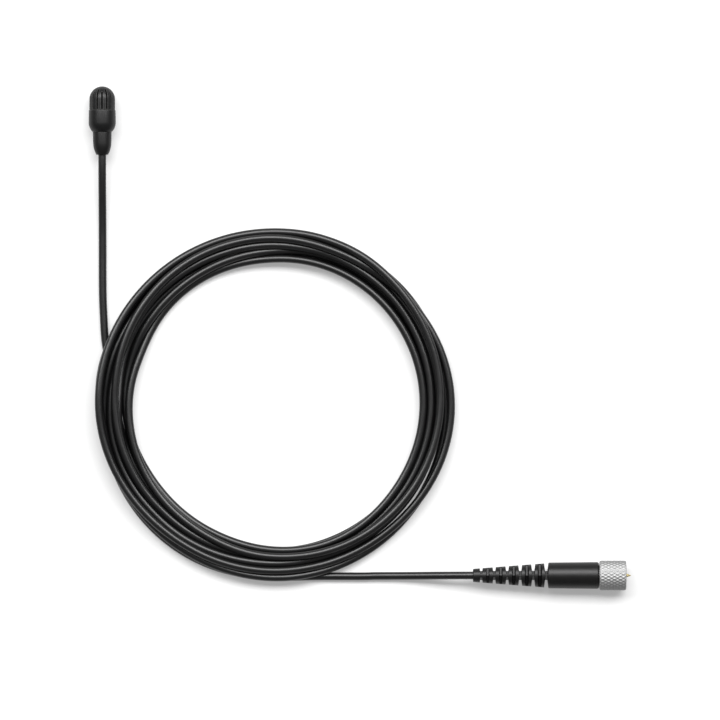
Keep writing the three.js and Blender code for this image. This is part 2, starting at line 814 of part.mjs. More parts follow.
/** From the head's strain relief down onto the table and to the coil's side. */
function micTailRoute() {
  return [
    [0, headRear - END_GAP, housingWidestRadius],
    [0, -9.6, 2.72],
    [0, -13, 2.35],
    [0.02, -17.5, 1.6],
    [0.03, -22, 1.02],
    [0.04, -27, cableHeight],
    [0.05, -32.7, cableHeight],
    [0.11, -36.8, cableHeight],
    [0.26, -40.2, cableHeight],
    [0.43, -43.5, cableHeight],
  ];
}

/** From the coil's side along the table and up into the plug's boot. */
function plugTailRoute() {
  return [
    [50.2, -93.4, cableHeight],
    [53, -93.4, cableHeight],
    [56.5, -93.4, cableHeight],
    [60, -93.38, 0.95],
    [64, -93.35, 1.4],
    [68, -93.3, 2.15],
    [71.5, -93.27, 2.75],
    [PLUG_START_X - END_GAP, PLUG_AXIS_Y, nutRadius],
  ];
}

function freeCable() {
  const cable = new THREE.Group();
  addPiece(cable, "cable_coil", cableCoil(), jacketBlack);
  const micTail = roundTube(micTailRoute(), cableRadius, CABLE_SIDES, TAIL_STEPS);
  addPiece(cable, "cable_mic_tail", micTail, jacketBlack);
  const plugTail = roundTube(plugTailRoute(), cableRadius, CABLE_SIDES, TAIL_STEPS);
  addPiece(cable, "cable_plug_tail", plugTail, jacketBlack);
  return cable;
}

// ---------------------------------------------------------------- the whole object

const lavalierMicrophone = new THREE.Group();
lavalierMicrophone.add(microphoneHead(), freeCable(), coaxialPlug());

export default lavalierMicrophone;
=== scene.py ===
"""Looks of a lavalier microphone: a small slotted head, a thin coiled cable and a knurled coaxial plug.

The file is laid out as an add-on. Each operator makes one piece, or a group of like pieces, around
the packed model, which is loaded as a fixed frame. Everything is in metres, +Z up, the head's front
along +Y and the plug's front along +X.
"""

import math

import bmesh
import bpy
import numpy as np
from bpy.props import FloatProperty, FloatVectorProperty, IntProperty, PointerProperty
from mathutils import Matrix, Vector


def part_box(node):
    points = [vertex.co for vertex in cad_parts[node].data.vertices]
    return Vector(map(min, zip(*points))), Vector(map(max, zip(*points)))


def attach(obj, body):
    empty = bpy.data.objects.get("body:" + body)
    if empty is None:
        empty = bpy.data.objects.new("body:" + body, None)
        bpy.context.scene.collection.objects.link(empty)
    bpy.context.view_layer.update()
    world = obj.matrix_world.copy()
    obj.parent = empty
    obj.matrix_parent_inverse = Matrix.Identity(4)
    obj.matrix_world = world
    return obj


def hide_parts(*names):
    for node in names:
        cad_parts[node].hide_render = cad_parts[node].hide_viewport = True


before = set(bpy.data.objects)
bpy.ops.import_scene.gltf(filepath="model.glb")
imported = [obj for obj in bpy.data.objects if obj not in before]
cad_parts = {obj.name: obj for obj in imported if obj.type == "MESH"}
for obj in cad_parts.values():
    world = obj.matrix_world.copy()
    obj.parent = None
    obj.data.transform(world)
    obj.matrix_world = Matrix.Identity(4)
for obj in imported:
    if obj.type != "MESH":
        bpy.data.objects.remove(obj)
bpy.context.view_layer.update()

bl_info = {
    "name": "Lavalier Microphone",
    "version": (1, 0, 0),
    "blender": (4, 5, 0),
    "location": "3D View > Sidebar > Lavalier",
    "description": "Makes the visible pieces of a lavalier microphone around its packed model",
    "category": "Add Mesh",
}

MM = 0.001
FIT = 0.03 * MM  # gap between pieces that seat in each other
CABLE_BORE = 0.83 * MM  # radius of the bores that hold the cable
CORE_BORE = 0.53 * MM  # radius of the connector's bore around the cable's core
PIN_BORE = 0.46 * MM  # radius of the insulator's bore around the pin


# ------------------------------------------------------------------------------- settings


def length(name, description, millimetres):
    """A length setting, given in millimetres and held in metres."""
    return FloatProperty(
        name=name, description=description, default=millimetres * MM, unit="LENGTH", precision=6
    )


def colour(name, description, value):
    """A linear colour setting."""
    return FloatVectorProperty(
        name=name, description=description, default=value, subtype="COLOR", min=0, max=1
    )


def factor(name, description, value):
    """A setting from 0 to 1."""
    return FloatProperty(
        name=name, description=description, default=value, min=0, max=1, subtype="FACTOR"
    )


def angle(name, description, degrees):
    """An angle setting, given in degrees."""
    return FloatProperty(
        name=name, description=description, default=math.radians(degrees), subtype="ANGLE"
    )


def count(name, description, value, least):
    """A setting that is a whole number."""
    return IntProperty(name=name, description=description, default=value, min=least)


class CableSettings(bpy.types.PropertyGroup):
    """The free cable and the coil that it is wound into."""

    diameter: length("Diameter", "Outside diameter of the jacket", 1.6)
    real_length: FloatProperty(
        name="Length", description="Whole length of the cable", default=1.8, unit="LENGTH"
    )
    coil_x: length("Coil centre X", "Where the coil's centre lies", 35.5)
    coil_y: length("Coil centre Y", "Where the coil's centre lies", -58.3)
    entry_x: length("Entry line X", "Line on which the cable joins the coil from the head", 0.55)
    exit_y: length("Exit line Y", "Line on which the cable leaves the coil for the plug", -93.4)
    points_per_turn: count("Points per turn", "Points of the curve in each turn", 240, 24)


class HeadSettings(bpy.types.PropertyGroup):
    """The cap, the housing and the strain relief."""

    slot_count: count("Slots", "Slots around the cap", 16, 4)
    slot_width: length("Slot width", "Width of each slot", 0.35)
    long_slot_top: angle("Long slot top", "Angle from the cap's tip to the end of each long slot", 38)
    short_slot_top: angle("Short slot top", "Angle from the cap's tip to the end of each short slot", 56)
    cap_wall: length("Cap wall", "Thickness of the cap", 0.35)
    cap_rim: length("Cap rim", "Solid band under the slots", 0.16)
    skirt_length: length("Skirt length", "How far the cap reaches into the housing", 1.2)
    skirt_wall: length("Skirt wall", "Thickness of the skirt", 0.25)
    slide_fit: length("Slide fit", "Gap around the skirt", 0.03)
    housing_wall: length("Housing wall", "Thickness of the housing's front", 0.345)
    housing_bulge: length("Bulge", "How far the widest ring stands out", 0.04)
    bulge_setback: length("Bulge setback", "From the front edge to the widest ring", 2.56)
    housing_rear_radius: length("Rear radius", "Radius of the housing's rear edge", 1.96)
    housing_base: length("Base", "Thickness of the housing's rear wall", 1.6)
    relief_tip_radius: length("Relief tip radius", "Radius at the relief's thin end", 1.18)
    relief_nose: length("Relief nose", "Length of the relief's rounded end", 2.5)
    relief_taper: length("Relief taper", "How much its radius shrinks before the nose", 0.06)
    shoulder_turn: angle("Shoulder turn", "How far the shoulder turns in at the rear edge", 45)
    nose_turn: angle("Nose turn", "How far the relief's nose turns in at its tip", 35)
    neck_radius: length("Neck radius", "Neck of the relief inside the housing", 1.18)
    neck_length: length("Neck length", "How far the neck reaches into the housing", 1.0)
    mesh_pitch: length("Mesh pitch", "Spacing of the wires in the cap's liner", 0.11)


class PlugSettings(bpy.types.PropertyGroup):
    """The boot, the connector and the coupling nut."""

    cone_length: length("Cone length", "Length of the notched part of the boot", 15.4)
    tip_radius: length("Tip radius", "Radius of the boot's thin end", 1.35)
    cone_base_radius: length("Cone base radius", "Radius at the cone's thick end", 2.525)
    sleeve_rear_radius: length("Sleeve rear radius", "Radius at the sleeve's rear", 2.65)
    sleeve_rounding: length("Sleeve rounding", "Rounding of the sleeve's edges", 0.42)
    notch_start: length("First notch", "From the thin end to the first notch", 1.69)
    notch_pitch: length("Notch pitch", "Spacing of the notches on one side", 2.665)
    notch_mouth: length("Notch mouth", "Width of each notch at its mouth", 0.86)
    notch_floor_width: length("Notch floor width", "Width of each notch at its floor", 0.44)
    notch_floor: length("Notch floor", "From the boot's axis to each notch's floor", 0.97)
    notch_slope: angle("Notch slope", "How steeply each floor falls away on both sides of its crest", 22)
    knurl_around: count("Knurl around", "Diamonds around the nut", 28, 8)
    knurl_pitch: length("Knurl pitch", "Length of each diamond along the nut", 1.22)
    knurl_depth: length("Knurl depth", "Depth of the grooves between diamonds", 0.12)
    thread_radius: length("Thread radius", "Major radius of the nut's thread", 2.415)
    thread_depth: length("Thread depth", "Height of the thread's ridges", 0.33)
    thread_pitch: length("Thread pitch", "Spacing of the thread's ridges", 0.794)
    nut_lip: length("Nut lip", "Thickness of the nut's rear lip", 0.5)
    shell_radius: length("Shell radius", "Radius of the connector's shell", 2.0)


class FinishSettings(bpy.types.PropertyGroup):
    """Colours of the finishes, all linear."""

    jacket: colour("Cable jacket", "Extruded black jacket", (0.0018, 0.0018, 0.0019))
    satin_black: colour("Satin black metal", "Coated metal of the head", (0.0018, 0.0018, 0.0019))
    moulding: colour("Black moulding", "Boot and strain relief", (0.002, 0.002, 0.002))
    nickel: colour("Nickel", "Plated nut and shell", (0.31, 0.311, 0.311))
    gold: colour("Gold", "Thin gold plate", (0.40, 0.33, 0.16))
    steel: colour("Steel", "Drawn steel", (0.56, 0.56, 0.55))
    copper: colour("Copper", "Bare copper", (0.62, 0.30, 0.17))
    resin: colour("Resin", "White insulating resin", (0.80, 0.79, 0.74))
    film: colour("Film", "Metallised film", (0.70, 0.66, 0.55))
    board: colour("Board", "Green solder mask", (0.03, 0.12, 0.055))
    chip: colour("Chip", "Moulded chip package", (0.02, 0.02, 0.02))
    seal: colour("Seal", "Black silicone", (0.025, 0.025, 0.025))
    liner: colour("Liner", "Blackened wire mesh", (0.0016, 0.0016, 0.0017))
    wear: factor("Wear", "How far the edges have worn pale", 0.35)


class StageSettings(bpy.types.PropertyGroup):
    """The floor, the light and the camera."""

    floor: colour("Floor", "Pale floor", (0.34, 0.34, 0.34))
    floor_glow: FloatProperty(name="Floor glow", description="Backlight of the floor", default=0.3)
    key_level: FloatProperty(name="Key", description="Brightness of the softbox", default=13.5)
    key_tilt: angle("Key tilt", "Tilt of the softbox back from straight above", 32)
    world_level: FloatProperty(name="World", description="Brightness of the room", default=0.3)
    centre_x: length("View centre X", "Point under the camera", 52.85)
    centre_y: length("View centre Y", "Point under the camera", -49.09)
    view_width: length("View width", "Width of table in the view", 147.6)
    lens: FloatProperty(name="Lens", description="Focal length in millimetres", default=600.0)


# ------------------------------------------------------------------------------- shader maths


class Signal:
    """A node's output socket. Arithmetic on it adds Math nodes to its shader."""

    def __init__(self, shader, socket):
        self.shader = shader
        self.socket = socket

    def maths(self, operation, *values, clamp=False):
        inputs = dict(enumerate(values))
        settings = {"operation": operation, "use_clamp": clamp}
        return self.shader.node("ShaderNodeMath", settings, inputs)

    def __add__(self, other):
        return self.maths("ADD", self, other)

    def __sub__(self, other):
        return self.maths("SUBTRACT", self, other)

    def __mul__(self, other):
        return self.maths("MULTIPLY", self, other)

    def __rsub__(self, other):
        return self.maths("SUBTRACT", other, self)

    __radd__ = __add__
    __rmul__ = __mul__

    def sine(self):
        return self.maths("SINE", self)

    def clamped(self):
        return self.maths("ADD", self, 0.0, clamp=True)


class Shader:
    """A material whose nodes are written as expressions."""

    def __init__(self, name):
        self.material = bpy.data.materials.new(name)
        self.material.use_nodes = True
        self.tree = self.material.node_tree
        self.tree.nodes.clear()

    def node(self, kind, settings=None, inputs=None, output=0):
        """Adds a node: its settings first, then its sockets' values or links."""
        node = self.tree.nodes.new(kind)
        for key, value in (settings or {}).items():
            setattr(node, key, value)
        for key, value in (inputs or {}).items():
            if isinstance(value, Signal):
                self.tree.links.new(value.socket, node.inputs[key])
            else:
                node.inputs[key].default_value = value
        return Signal(self, node.outputs[output]) if node.outputs else None

    def place(self):
        """Where a point is on the piece, in metres."""
        return self.node("ShaderNodeTexCoord", output="Object")

    def along(self, axis):
        """One coordinate of the point, in metres."""
        return self.node("ShaderNodeSeparateXYZ", None, {0: self.place()}, axis)

    def noise(self, feature, detail=2.0, roughness=0.5):
        """Even noise about 0.5, whose features are this many metres across."""
        inputs = {
            "Vector": self.place(),
            "Scale": 1 / feature,
            "Detail": detail,
            "Roughness": roughness,
        }
        return self.node("ShaderNodeTexNoise", None, inputs)

    def stretched_noise(self, feature, stretch):
        """Noise drawn out by a factor along each axis."""
        scale = self.node(
            "ShaderNodeVectorMath",
            {"operation": "MULTIPLY"},
            {0: self.place(), 1: [1 / (feature * s) for s in stretch]},
        )
        return self.node("ShaderNodeTexNoise", None, {"Vector": scale, "Scale": 1.0, "Detail": 3.0})

    def mask(self, attribute):
        """A value that the mesh carries, such as where an edge is worn."""
        settings = {"attribute_type": "GEOMETRY", "attribute_name": attribute}
        return self.node("ShaderNodeAttribute", settings, output="Fac")

    def blend(self, amount, first, second):
        """A colour between two."""
        settings = {"data_type": "RGBA", "clamp_factor": True}
        return self.node("ShaderNodeMix", settings, {0: amount, 6: first, 7: second}, 2)

    def bump(self, height, depth):
        """A normal from a height of 0 to 1 that stands for this depth in metres."""
        return self.node("ShaderNodeBump", None, {"Height": height, "Distance": depth})

    def surface(self, **sockets):
        """Closes the material with a Principled shader and gives it back."""
        inputs = {name.replace("_", " "): value for name, value in sockets.items()}
        shader = self.node("ShaderNodeBsdfPrincipled", None, inputs)
        self.node("ShaderNodeOutputMaterial", None, {"Surface": shader})
        return self.material


def solid(value, gain=1.0):
    """A colour setting as the four numbers of a colour socket, made lighter or darker."""
    return [min(1.0, part * gain) for part in value[:3]] + [1.0]


# ------------------------------------------------------------------------------- finishes


def cable_jacket(finish):
    """Smooth extruded black jacket: satin, with faint handling marks."""
    s = Shader("cable_jacket")
    patches = s.noise(3 * MM, 3.0)
    grain = s.noise(0.09 * MM, 2.0)
    dust = ((s.noise(0.4 * MM, 4.0, 0.65) - 0.56) * 5.0).clamped()
    base = s.blend(patches, solid(finish.jacket, 0.8), solid(finish.jacket, 1.35))
    base = s.blend(dust * 0.35, base, solid(finish.jacket, 2.6))
    return s.surface(
        Base_Color=base,
        Roughness=0.31 + 0.08 * patches + 0.06 * dust,
        Specular_IOR_Level=0.38,
        Normal=s.bump(grain, 0.006 * MM),
    )


def satin_black_metal(finish):
    """Thin black coating on turned metal: fine turning rings and slightly worn edges."""
    s = Shader("satin_black_metal")
    rings = (s.along("Y") * (2 * math.pi / (0.075 * MM))).sine() * 0.5 + 0.5
    uneven = s.noise(0.8 * MM, 3.0)
    grain = s.noise(0.05 * MM, 2.0)
    worn = (s.mask("edge") * finish.wear * (0.35 + 0.9 * uneven)).clamped()
    coat = s.blend(uneven, solid(finish.satin_black, 0.8), solid(finish.satin_black, 1.4))
    return s.surface(
        Base_Color=s.blend(worn, coat, (0.11, 0.108, 0.105, 1)),
        Roughness=0.33 + 0.09 * uneven + 0.05 * rings,
        Specular_IOR_Level=0.25,
        Metallic=0.5 * worn,
        Normal=s.bump(rings * 0.4 + grain * 0.6, 0.0022 * MM),
    )


def soft_black_moulding(finish):
    """Matte moulded rubber: fine grain, with slightly polished edges."""
    s = Shader("soft_black_moulding")
    cloud = s.noise(1.6 * MM, 3.0)
    grain = s.noise(0.07 * MM, 3.0, 0.6)
    dust = ((s.noise(0.3 * MM, 4.0, 0.7) - 0.58) * 6.0).clamped()
    polished = (s.mask("edge") * (0.5 + 0.5 * cloud)).clamped()
    base = s.blend(cloud, solid(finish.moulding, 0.85), solid(finish.moulding, 1.3))
    base = s.blend(dust * 0.3, base, solid(finish.moulding, 3.0))
    return s.surface(
        Base_Color=base,
        Roughness=0.36 + 0.08 * cloud - 0.06 * polished + 0.06 * dust,
        Specular_IOR_Level=0.25,
        Normal=s.bump(grain, 0.009 * MM),
    )


def plated_nickel(finish, name="bright_nickel", axis="X"):
    """Bright plated metal: painted shade darkening its grooves, fine scratches and smudges."""
    s = Shader(name)
    smudge = s.noise(1.1 * MM, 3.0)
    stretch = [1.0, 1.0, 1.0]
    stretch["XYZ".index(axis)] = 12.0
    scratches = s.stretched_noise(0.03 * MM, stretch)
    # The groove mask mixes dark grey into the plate in the knurl's and the thread's grooves: this is
    # painted shade.
    painted_groove_shade = (s.mask("groove") * (0.45 + 0.5 * smudge)).clamped()
    metal = s.blend(smudge, solid(finish.nickel, 0.9), solid(finish.nickel, 1.06))
    return s.surface(
        Base_Color=s.blend(painted_groove_shade, metal, (0.21, 0.21, 0.208, 1)),
        Metallic=1.0,
        Roughness=0.54 + 0.08 * smudge + 0.1 * painted_groove_shade,
        Normal=s.bump(scratches, 0.0015 * MM),
    )


def plain_metal(name, value, roughness, axis="Y"):
    """Bare metal with drawing marks along one axis and a light tarnish."""
    s = Shader(name)
    tarnish = s.noise(0.5 * MM, 4.0, 0.6)
    stretch = [1.0, 1.0, 1.0]
    stretch["XYZ".index(axis)] = 10.0
    marks = s.stretched_noise(0.03 * MM, stretch)
    return s.surface(
        Base_Color=s.blend(tarnish, solid(value, 0.72), solid(value, 1.12)),
        Metallic=1.0,
        Roughness=roughness + 0.16 * tarnish,
        Normal=s.bump(marks, 0.002 * MM),
    )


def braided_copper(finish):
    """Fine strands that cross each other around the cable's core."""
    s = Shader("bare_copper_braid")
    offset = s.node(
        "ShaderNodeVectorMath",
        {"operation": "SUBTRACT"},
        {0: s.place(), 1: [0, plug_centre().y, plug_centre().z]},
    )
    across = s.node("ShaderNodeSeparateXYZ", None, {0: offset}, "Y")
    up = s.node("ShaderNodeSeparateXYZ", None, {0: offset}, "Z")
    turn = across.maths("ARCTAN2", across, up)
    advance = s.along("X") * (2 * math.pi / (0.5 * MM))
    one = (turn * 12.0 + advance).sine() * 0.5 + 0.5
    other = (turn * 12.0 - advance).sine() * 0.5 + 0.5
    strands = one.maths("MAXIMUM", one, other)
    return s.surface(
        Base_Color=s.blend(strands, solid(finish.copper, 0.35), solid(finish.copper, 1.15)),
        Metallic=1.0,
        Roughness=0.5 - 0.18 * strands,
        Normal=s.bump(strands, 0.05 * MM),
    )


def plain_plastic(name, value, roughness, grain_depth=0.004):
    """Moulded resin with a faint mottle and grain."""
    s = Shader(name)
    mottle = s.noise(0.6 * MM, 4.0, 0.6)
    grain = s.noise(0.05 * MM, 2.0)
    return s.surface(
        Base_Color=s.blend(mottle, solid(value, 0.84), solid(value, 1.12)),
        Roughness=roughness + 0.14 * mottle,
        Normal=s.bump(grain, grain_depth * MM),
    )


def woven_liner(finish, pitch):
    """Blackened wire cloth: wires over and under each other, dark between them."""
    s = Shader("fine_steel_mesh")
    wave = 2 * math.pi / pitch
    across = (s.along("X") * wave).sine()
    up = (s.along("Z") * wave).sine()
    wires = (0.5 + 0.5 * across * up).clamped()
    tarnish = s.noise(0.4 * MM, 3.0)
    return s.surface(
        Base_Color=s.blend(wires, solid(finish.liner, 0.15), solid(finish.liner, 1.1)),
        Roughness=0.5 + 0.15 * tarnish,
        Specular_IOR_Level=0.03,
        Normal=s.bump(wires, 0.05 * MM),
    )


# ------------------------------------------------------------------------------- mesh helpers


def head_centre():
    """A point on the head's axis: only its X and Z are used."""
    low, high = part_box("head_housing")
    return (Vector(low) + Vector(high)) / 2


def plug_centre():
    """A point on the plug's axis: only its Y and Z are used."""
    low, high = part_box("coupling_nut")
    return (Vector(low) + Vector(high)) / 2


def on_head(radius, turn, along):
    """Points around the head's axis; turn 0 is straight up."""
    centre = head_centre()
    x = centre.x + radius * np.sin(turn)
    z = centre.z + radius * np.cos(turn)
    return np.stack([x, along + 0 * x, z], axis=-1)


def on_plug(radius, turn, along):
    """Points around the plug's axis; turn 0 is straight up."""
    centre = plug_centre()
    y = centre.y - radius * np.sin(turn)
    z = centre.z + radius * np.cos(turn)
    return np.stack([along + 0 * y, y, z], axis=-1)


def rounded(corners, steps=4):
    """An outline of [radius, along, edge]: each corner (radius, along, fillet) becomes a curve.

    The third number of the result is 1 in the middle of a rounded corner and 0 on the flats.
    """
    outline = []
    count = len(corners)
    for i, (radius, along, fillet) in enumerate(corners):
        corner = np.array([radius, along])
        before = np.array(corners[i - 1][:2]) - corner
        after = np.array(corners[(i + 1) % count][:2]) - corner
        reach = min(fillet, 0.45 * np.linalg.norm(before), 0.45 * np.linalg.norm(after))
        if reach <= 0:
            outline.append([radius, along, 0])
            continue
        start = corner + before / np.linalg.norm(before) * reach
        end = corner + after / np.linalg.norm(after) * reach
        for step in range(steps + 1):
            t = step / steps
            point = (1 - t) ** 2 * start + 2 * t * (1 - t) * corner + t * t * end
            outline.append([point[0], point[1], 4 * t * (1 - t)])
    return outline


def arc(centre_radius, centre_along, out, forward, start, end, steps):
    """Points (radius, along, 0) of an elliptical arc between two angles in degrees."""
    points = []
    for step in range(steps + 1):
        angle = math.radians(start + (end - start) * step / steps)
        radius = centre_radius + out * math.cos(angle)
        points.append((max(radius, 0.0), centre_along + forward * math.sin(angle), 0.0))
    return points


def taper_curve(end, wide, turn, steps, fillet=0.05 * MM):
    """Corners of an arc that turns in by this angle from a wide ring to a narrower end."""
    (end_radius, end_along), (wide_radius, wide_along) = end, wide
    out = (wide_radius - end_radius) / (1 - math.cos(turn))
    forward = (wide_along - end_along) / math.sin(turn)
    corners = arc(wide_radius - out, wide_along, out, forward, -math.degrees(turn), 0, steps)
    return [(end_radius, end_along, fillet), *corners[1:]]


def make_mesh(name, points, faces, masks=None):
    """A smooth object of these points and faces. Doubled points at the poles are merged."""
    mesh = bpy.data.meshes.new(name)
    mesh.from_pydata(np.asarray(points).reshape(-1, 3).tolist(), [], faces)
    for mask, values in (masks or {}).items():
        layer = mesh.attributes.new(mask, "FLOAT", "POINT")
        layer.data.foreach_set("value", np.asarray(values, dtype=np.float32).ravel())
    piece = bpy.data.objects.new(name, mesh)
    bpy.context.scene.collection.objects.link(piece)
    surface = bmesh.new()
    surface.from_mesh(mesh)
    bmesh.ops.remove_doubles(surface, verts=surface.verts, dist=1e-7)
    bmesh.ops.dissolve_degenerate(surface, edges=surface.edges, dist=1e-8)
    bmesh.ops.recalc_face_normals(surface, faces=surface.faces)
    surface.to_mesh(mesh)
    surface.free()
    mesh.shade_smooth()
    return piece


def grid_faces(rows, columns, closed):
    """Quads of a grid that wraps around its columns, and around its rows where it is closed."""
    faces = []
    for row in range(rows if closed else rows - 1):
        below = (row + 1) % rows
        for column in range(columns):
            beside = (column + 1) % columns
            faces.append(
                (
                    row * columns + column,
                    row * columns + beside,
                    below * columns + beside,
                    below * columns + column,
                )
            )
    return faces


def turned_piece(name, outline, place, sides=128):
    """A piece turned about an axis. The outline is closed, or starts and ends on the axis."""
    closed = outline[0][0] > 0 or outline[-1][0] > 0
    turns = np.linspace(0, 2 * math.pi, sides, endpoint=False)
    points = [place(radius + 0 * turns, turns, along) for radius, along, edge in outline]
    edges = [[edge] * sides for radius, along, edge in outline]
    piece = make_mesh(name, points, grid_faces(len(outline), sides, closed), {"edge": edges})
    even_normals(piece)
    return piece


def even_normals(piece):
    """Keeps the flats flat beside small rounded edges."""
    modifier = piece.modifiers.new("even_normals", "WEIGHTED_NORMAL")
    modifier.weight = 90


def put_on(piece, material, body, slot, *nodes):
    """Gives a piece its material and its body, and hides the nodes that it stands for."""
    piece.data.materials.append(material)
    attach(piece, body)
    if nodes:
        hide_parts(*nodes)
    return piece


def soft_minimum(first, second, blend):
    """The lesser of two arrays, rounded where they meet."""
    share = np.clip(0.5 + 0.5 * (second - first) / blend, 0, 1)
    return second * (1 - share) + first * share - blend * share * (1 - share)


def triangle_wave(value):
    """0 at whole numbers and 1 halfway between them."""
    return 1 - np.abs(2 * (value - np.floor(value)) - 1)


# ------------------------------------------------------------------------------- the cable

# Each turn's lane, in millimetres from the coil's centre, and layer, in diameters above the table,
# at six places around the ring. The first place faces the microphone, and turns run counterclockwise.
TURNS = (
    ((32.4, 0.0), (30.3, 0.0), (30.6, 0.0), (31.2, 0.0), (30.6, 0.0), (31.6, 0.2)),
    ((32.6, 1.0), (32.0, 0.4), (32.4, 0.4), (32.6, 0.4), (32.0, 0.4), (31.0, 2.2)),
    ((31.0, 1.6), (29.0, 1.6), (30.7, 1.6), (30.4, 1.6), (30.4, 1.6), (30.0, 1.1)),
    ((30.2, 2.8), (30.2, 2.8), (32.2, 2.8), (33.9, 3.4), (34.9, 3.4), (35.7, 3.4)),
    ((36.5, 3.4), (33.8, 3.4), (34.1, 3.4), (36.6, 2.9), (33.6, 2.3), (34.6, 2.8)),
    ((32.8, 2.8), (31.7, 1.7), (31.8, 1.7), (32.1, 2.2), (32.8, 2.2), (32.9, 2.2)),
    ((34.5, 2.4), (32.3, 2.4), (32.4, 0.7), (33.0, 0.9), (33.6, 1.1), (35.4, 1.3)),
    ((35.4, 1.3), (35.1, 1.3), (35.4, 1.3), (35.0, 0.2), (34.3, 0.0), (33.7, 0.0)),
    ((35.3, 1.0), (35.7, 0.0), (34.3, 0.0)),
)
PLACES_PER_TURN = 6
ENTRY_ANGLE = 164  # where the straight entry ends and the first turn begins, in degrees
EXIT_ANGLE = 3150  # where the last turn ends and the straight exit begins
COIL_START = 159
COIL_END = 3180
# Where a later turn goes over an earlier one: its angle there and how far the hump spreads, in degrees.
CROSSINGS = ((543, 10), (2327, 12), (2686, 14), (2956, 14), (3046, 14))

# The cable's route outside the coil, in metres, from the model's own points.
HEAD_TAIL = (
    (0, -0.00732, 0.002785),
    (0, -0.0096, 0.00272),
    (0, -0.013, 0.00235),
    (0.00002, -0.0175, 0.0016),
    (0.00003, -0.022, 0.00102),
    (0.00004, -0.027, 0.00082),
    (0.00005, -0.0327, 0.00082),
    (0.00011, -0.0368, 0.00082),
    (0.00026, -0.0402, 0.00082),
    (0.00043, -0.0435, 0.00082),
)
PLUG_TAIL = (
    (0.060, -0.09338, 0.00095),
    (0.064, -0.09335, 0.0014),
    (0.068, -0.0933, 0.00215),
    (0.0715, -0.09327, 0.00275),
    (0.0757, -0.09325, 0.00305),
)


def smooth_line(values, spread):
    """The values evened out over this many neighbours, with straight ends."""
    reach = np.arange(-3 * spread, 3 * spread + 1)
    weights = np.exp(-0.5 * (reach / spread) ** 2)
    weights /= weights.sum()
    margin = 3 * spread
    before = 2 * values[0] - values[margin:0:-1]
    after = 2 * values[-1] - values[-2 : -margin - 2 : -1]
    return np.convolve(np.concatenate([before, values, after]), weights, "valid")


class Coil:
    """The wound part of the cable, laid turn on turn and settled under its own weight."""

    HELD_UNTIL = 163  # the entry lies fixed on the table before this angle, in degrees
    HELD_FROM = 3120  # and the exit after this one
    SINK = 0.03 * MM
    LAST_SINK = 0.01 * MM
    PULL_BACK = 0.06  # how strongly a turn is drawn to its own lane

    def __init__(self, cable):
        self.cable = cable
        self.diameter = cable.diameter
        self.per_turn = cable.points_per_turn
        step = 360 / self.per_turn
        self.angles = np.arange(COIL_START, COIL_END + step / 2, step)
        keys = [key for turn in TURNS for key in turn]
        marks = 180 + 360 / PLACES_PER_TURN * np.arange(len(keys))
        lanes = np.interp(self.angles, marks, [lane * MM for lane, layer in keys])
        layers = np.interp(self.angles, marks, [layer for lane, layer in keys])
        self.lanes = self.with_straight_ends(smooth_line(lanes, 8))
        self.radii = self.lanes.copy()
        self.heights = (0.5 + 0.95 * layers) * self.diameter

    def with_straight_ends(self, lanes):
        """Turns the first and last stretch into the straight lines of the two tails."""
        turns = np.radians(self.angles)
        lanes = lanes.copy()
        entry = self.angles <= ENTRY_ANGLE
        lanes[entry] = (self.cable.entry_x - self.cable.coil_x) / np.cos(turns[entry])
        leaving = self.angles >= EXIT_ANGLE
        lanes[leaving] = (self.cable.exit_y - self.cable.coil_y) / np.sin(turns[leaving])
        evened = smooth_line(lanes, 5)
        for joint in (ENTRY_ANGLE + 2, EXIT_ANGLE):
            near = np.clip(1 - np.abs(self.angles - joint) / 13, 0, 1)
            lanes = lanes * (1 - near) + evened * near
        return lanes

    def push_apart(self):
        """Moves turns that lie closer than a diameter apart, half the way each."""
        shift_out = np.zeros_like(self.radii)
        shift_up = np.zeros_like(self.radii)
        contacts = np.zeros_like(self.radii)
        for lag in range(self.per_turn, len(self.radii), self.per_turn):
            first, second = slice(0, -lag), slice(lag, None)
            out = self.radii[second] - self.radii[first]
            up = self.heights[second] - self.heights[first]
            gap = np.hypot(out, up) + 1e-9
            push = np.clip(1.01 * self.diameter - gap, 0, None) / 2
            for part, sign in ((first, -1), (second, 1)):
                shift_out[part] += sign * push * out / gap
                shift_up[part] += sign * push * up / gap
                contacts[part] += push > 0
        share = 1 / np.sqrt(np.maximum(contacts, 1))
        self.radii += 0.6 * shift_out * share
        self.heights += shift_up * share

    def lowest(self, floor):
        """The lowest height allowed along the coil: the table, with a long low hump at each crossing."""
        lowest = np.full_like(self.heights, floor)
        for angle, spread in CROSSINGS:
            rise = np.exp(-0.5 * ((self.angles - angle) / spread) ** 2)
            lowest = np.maximum(lowest, floor + 1.04 * self.diameter * rise)
        return lowest

    def settle(self, rounds=700):
        """Lets the turns sink onto each other and onto the table."""
        floor = self.diameter / 2 + 0.02 * MM
        lowest = self.lowest(floor)
        ends = (self.angles < self.HELD_UNTIL) | (self.angles > self.HELD_FROM)
        for step in range(rounds):
            self.heights -= self.SINK if step < 0.8 * rounds else self.LAST_SINK
            self.heights += 0.5 * (smooth_line(self.heights, 4) - self.heights)
            self.radii += 0.3 * (smooth_line(self.radii, 3) - self.radii)
            self.radii += self.PULL_BACK * (self.lanes - self.radii)
            for sweep in range(2):
                self.push_apart()
                self.heights = np.maximum(self.heights, lowest)
            self.radii[ends] = self.lanes[ends]
            self.heights[ends] = floor

    def points(self):
        """The turns as points in metres."""
        turns = np.radians(self.angles)
        radii = smooth_line(self.radii, 2)
        x = self.cable.coil_x + radii * np.cos(turns)
        y = self.cable.coil_y + radii * np.sin(turns)
        heights = np.maximum(smooth_line(self.heights, 2), self.diameter / 2)
        return np.stack([x, y, heights], axis=-1)


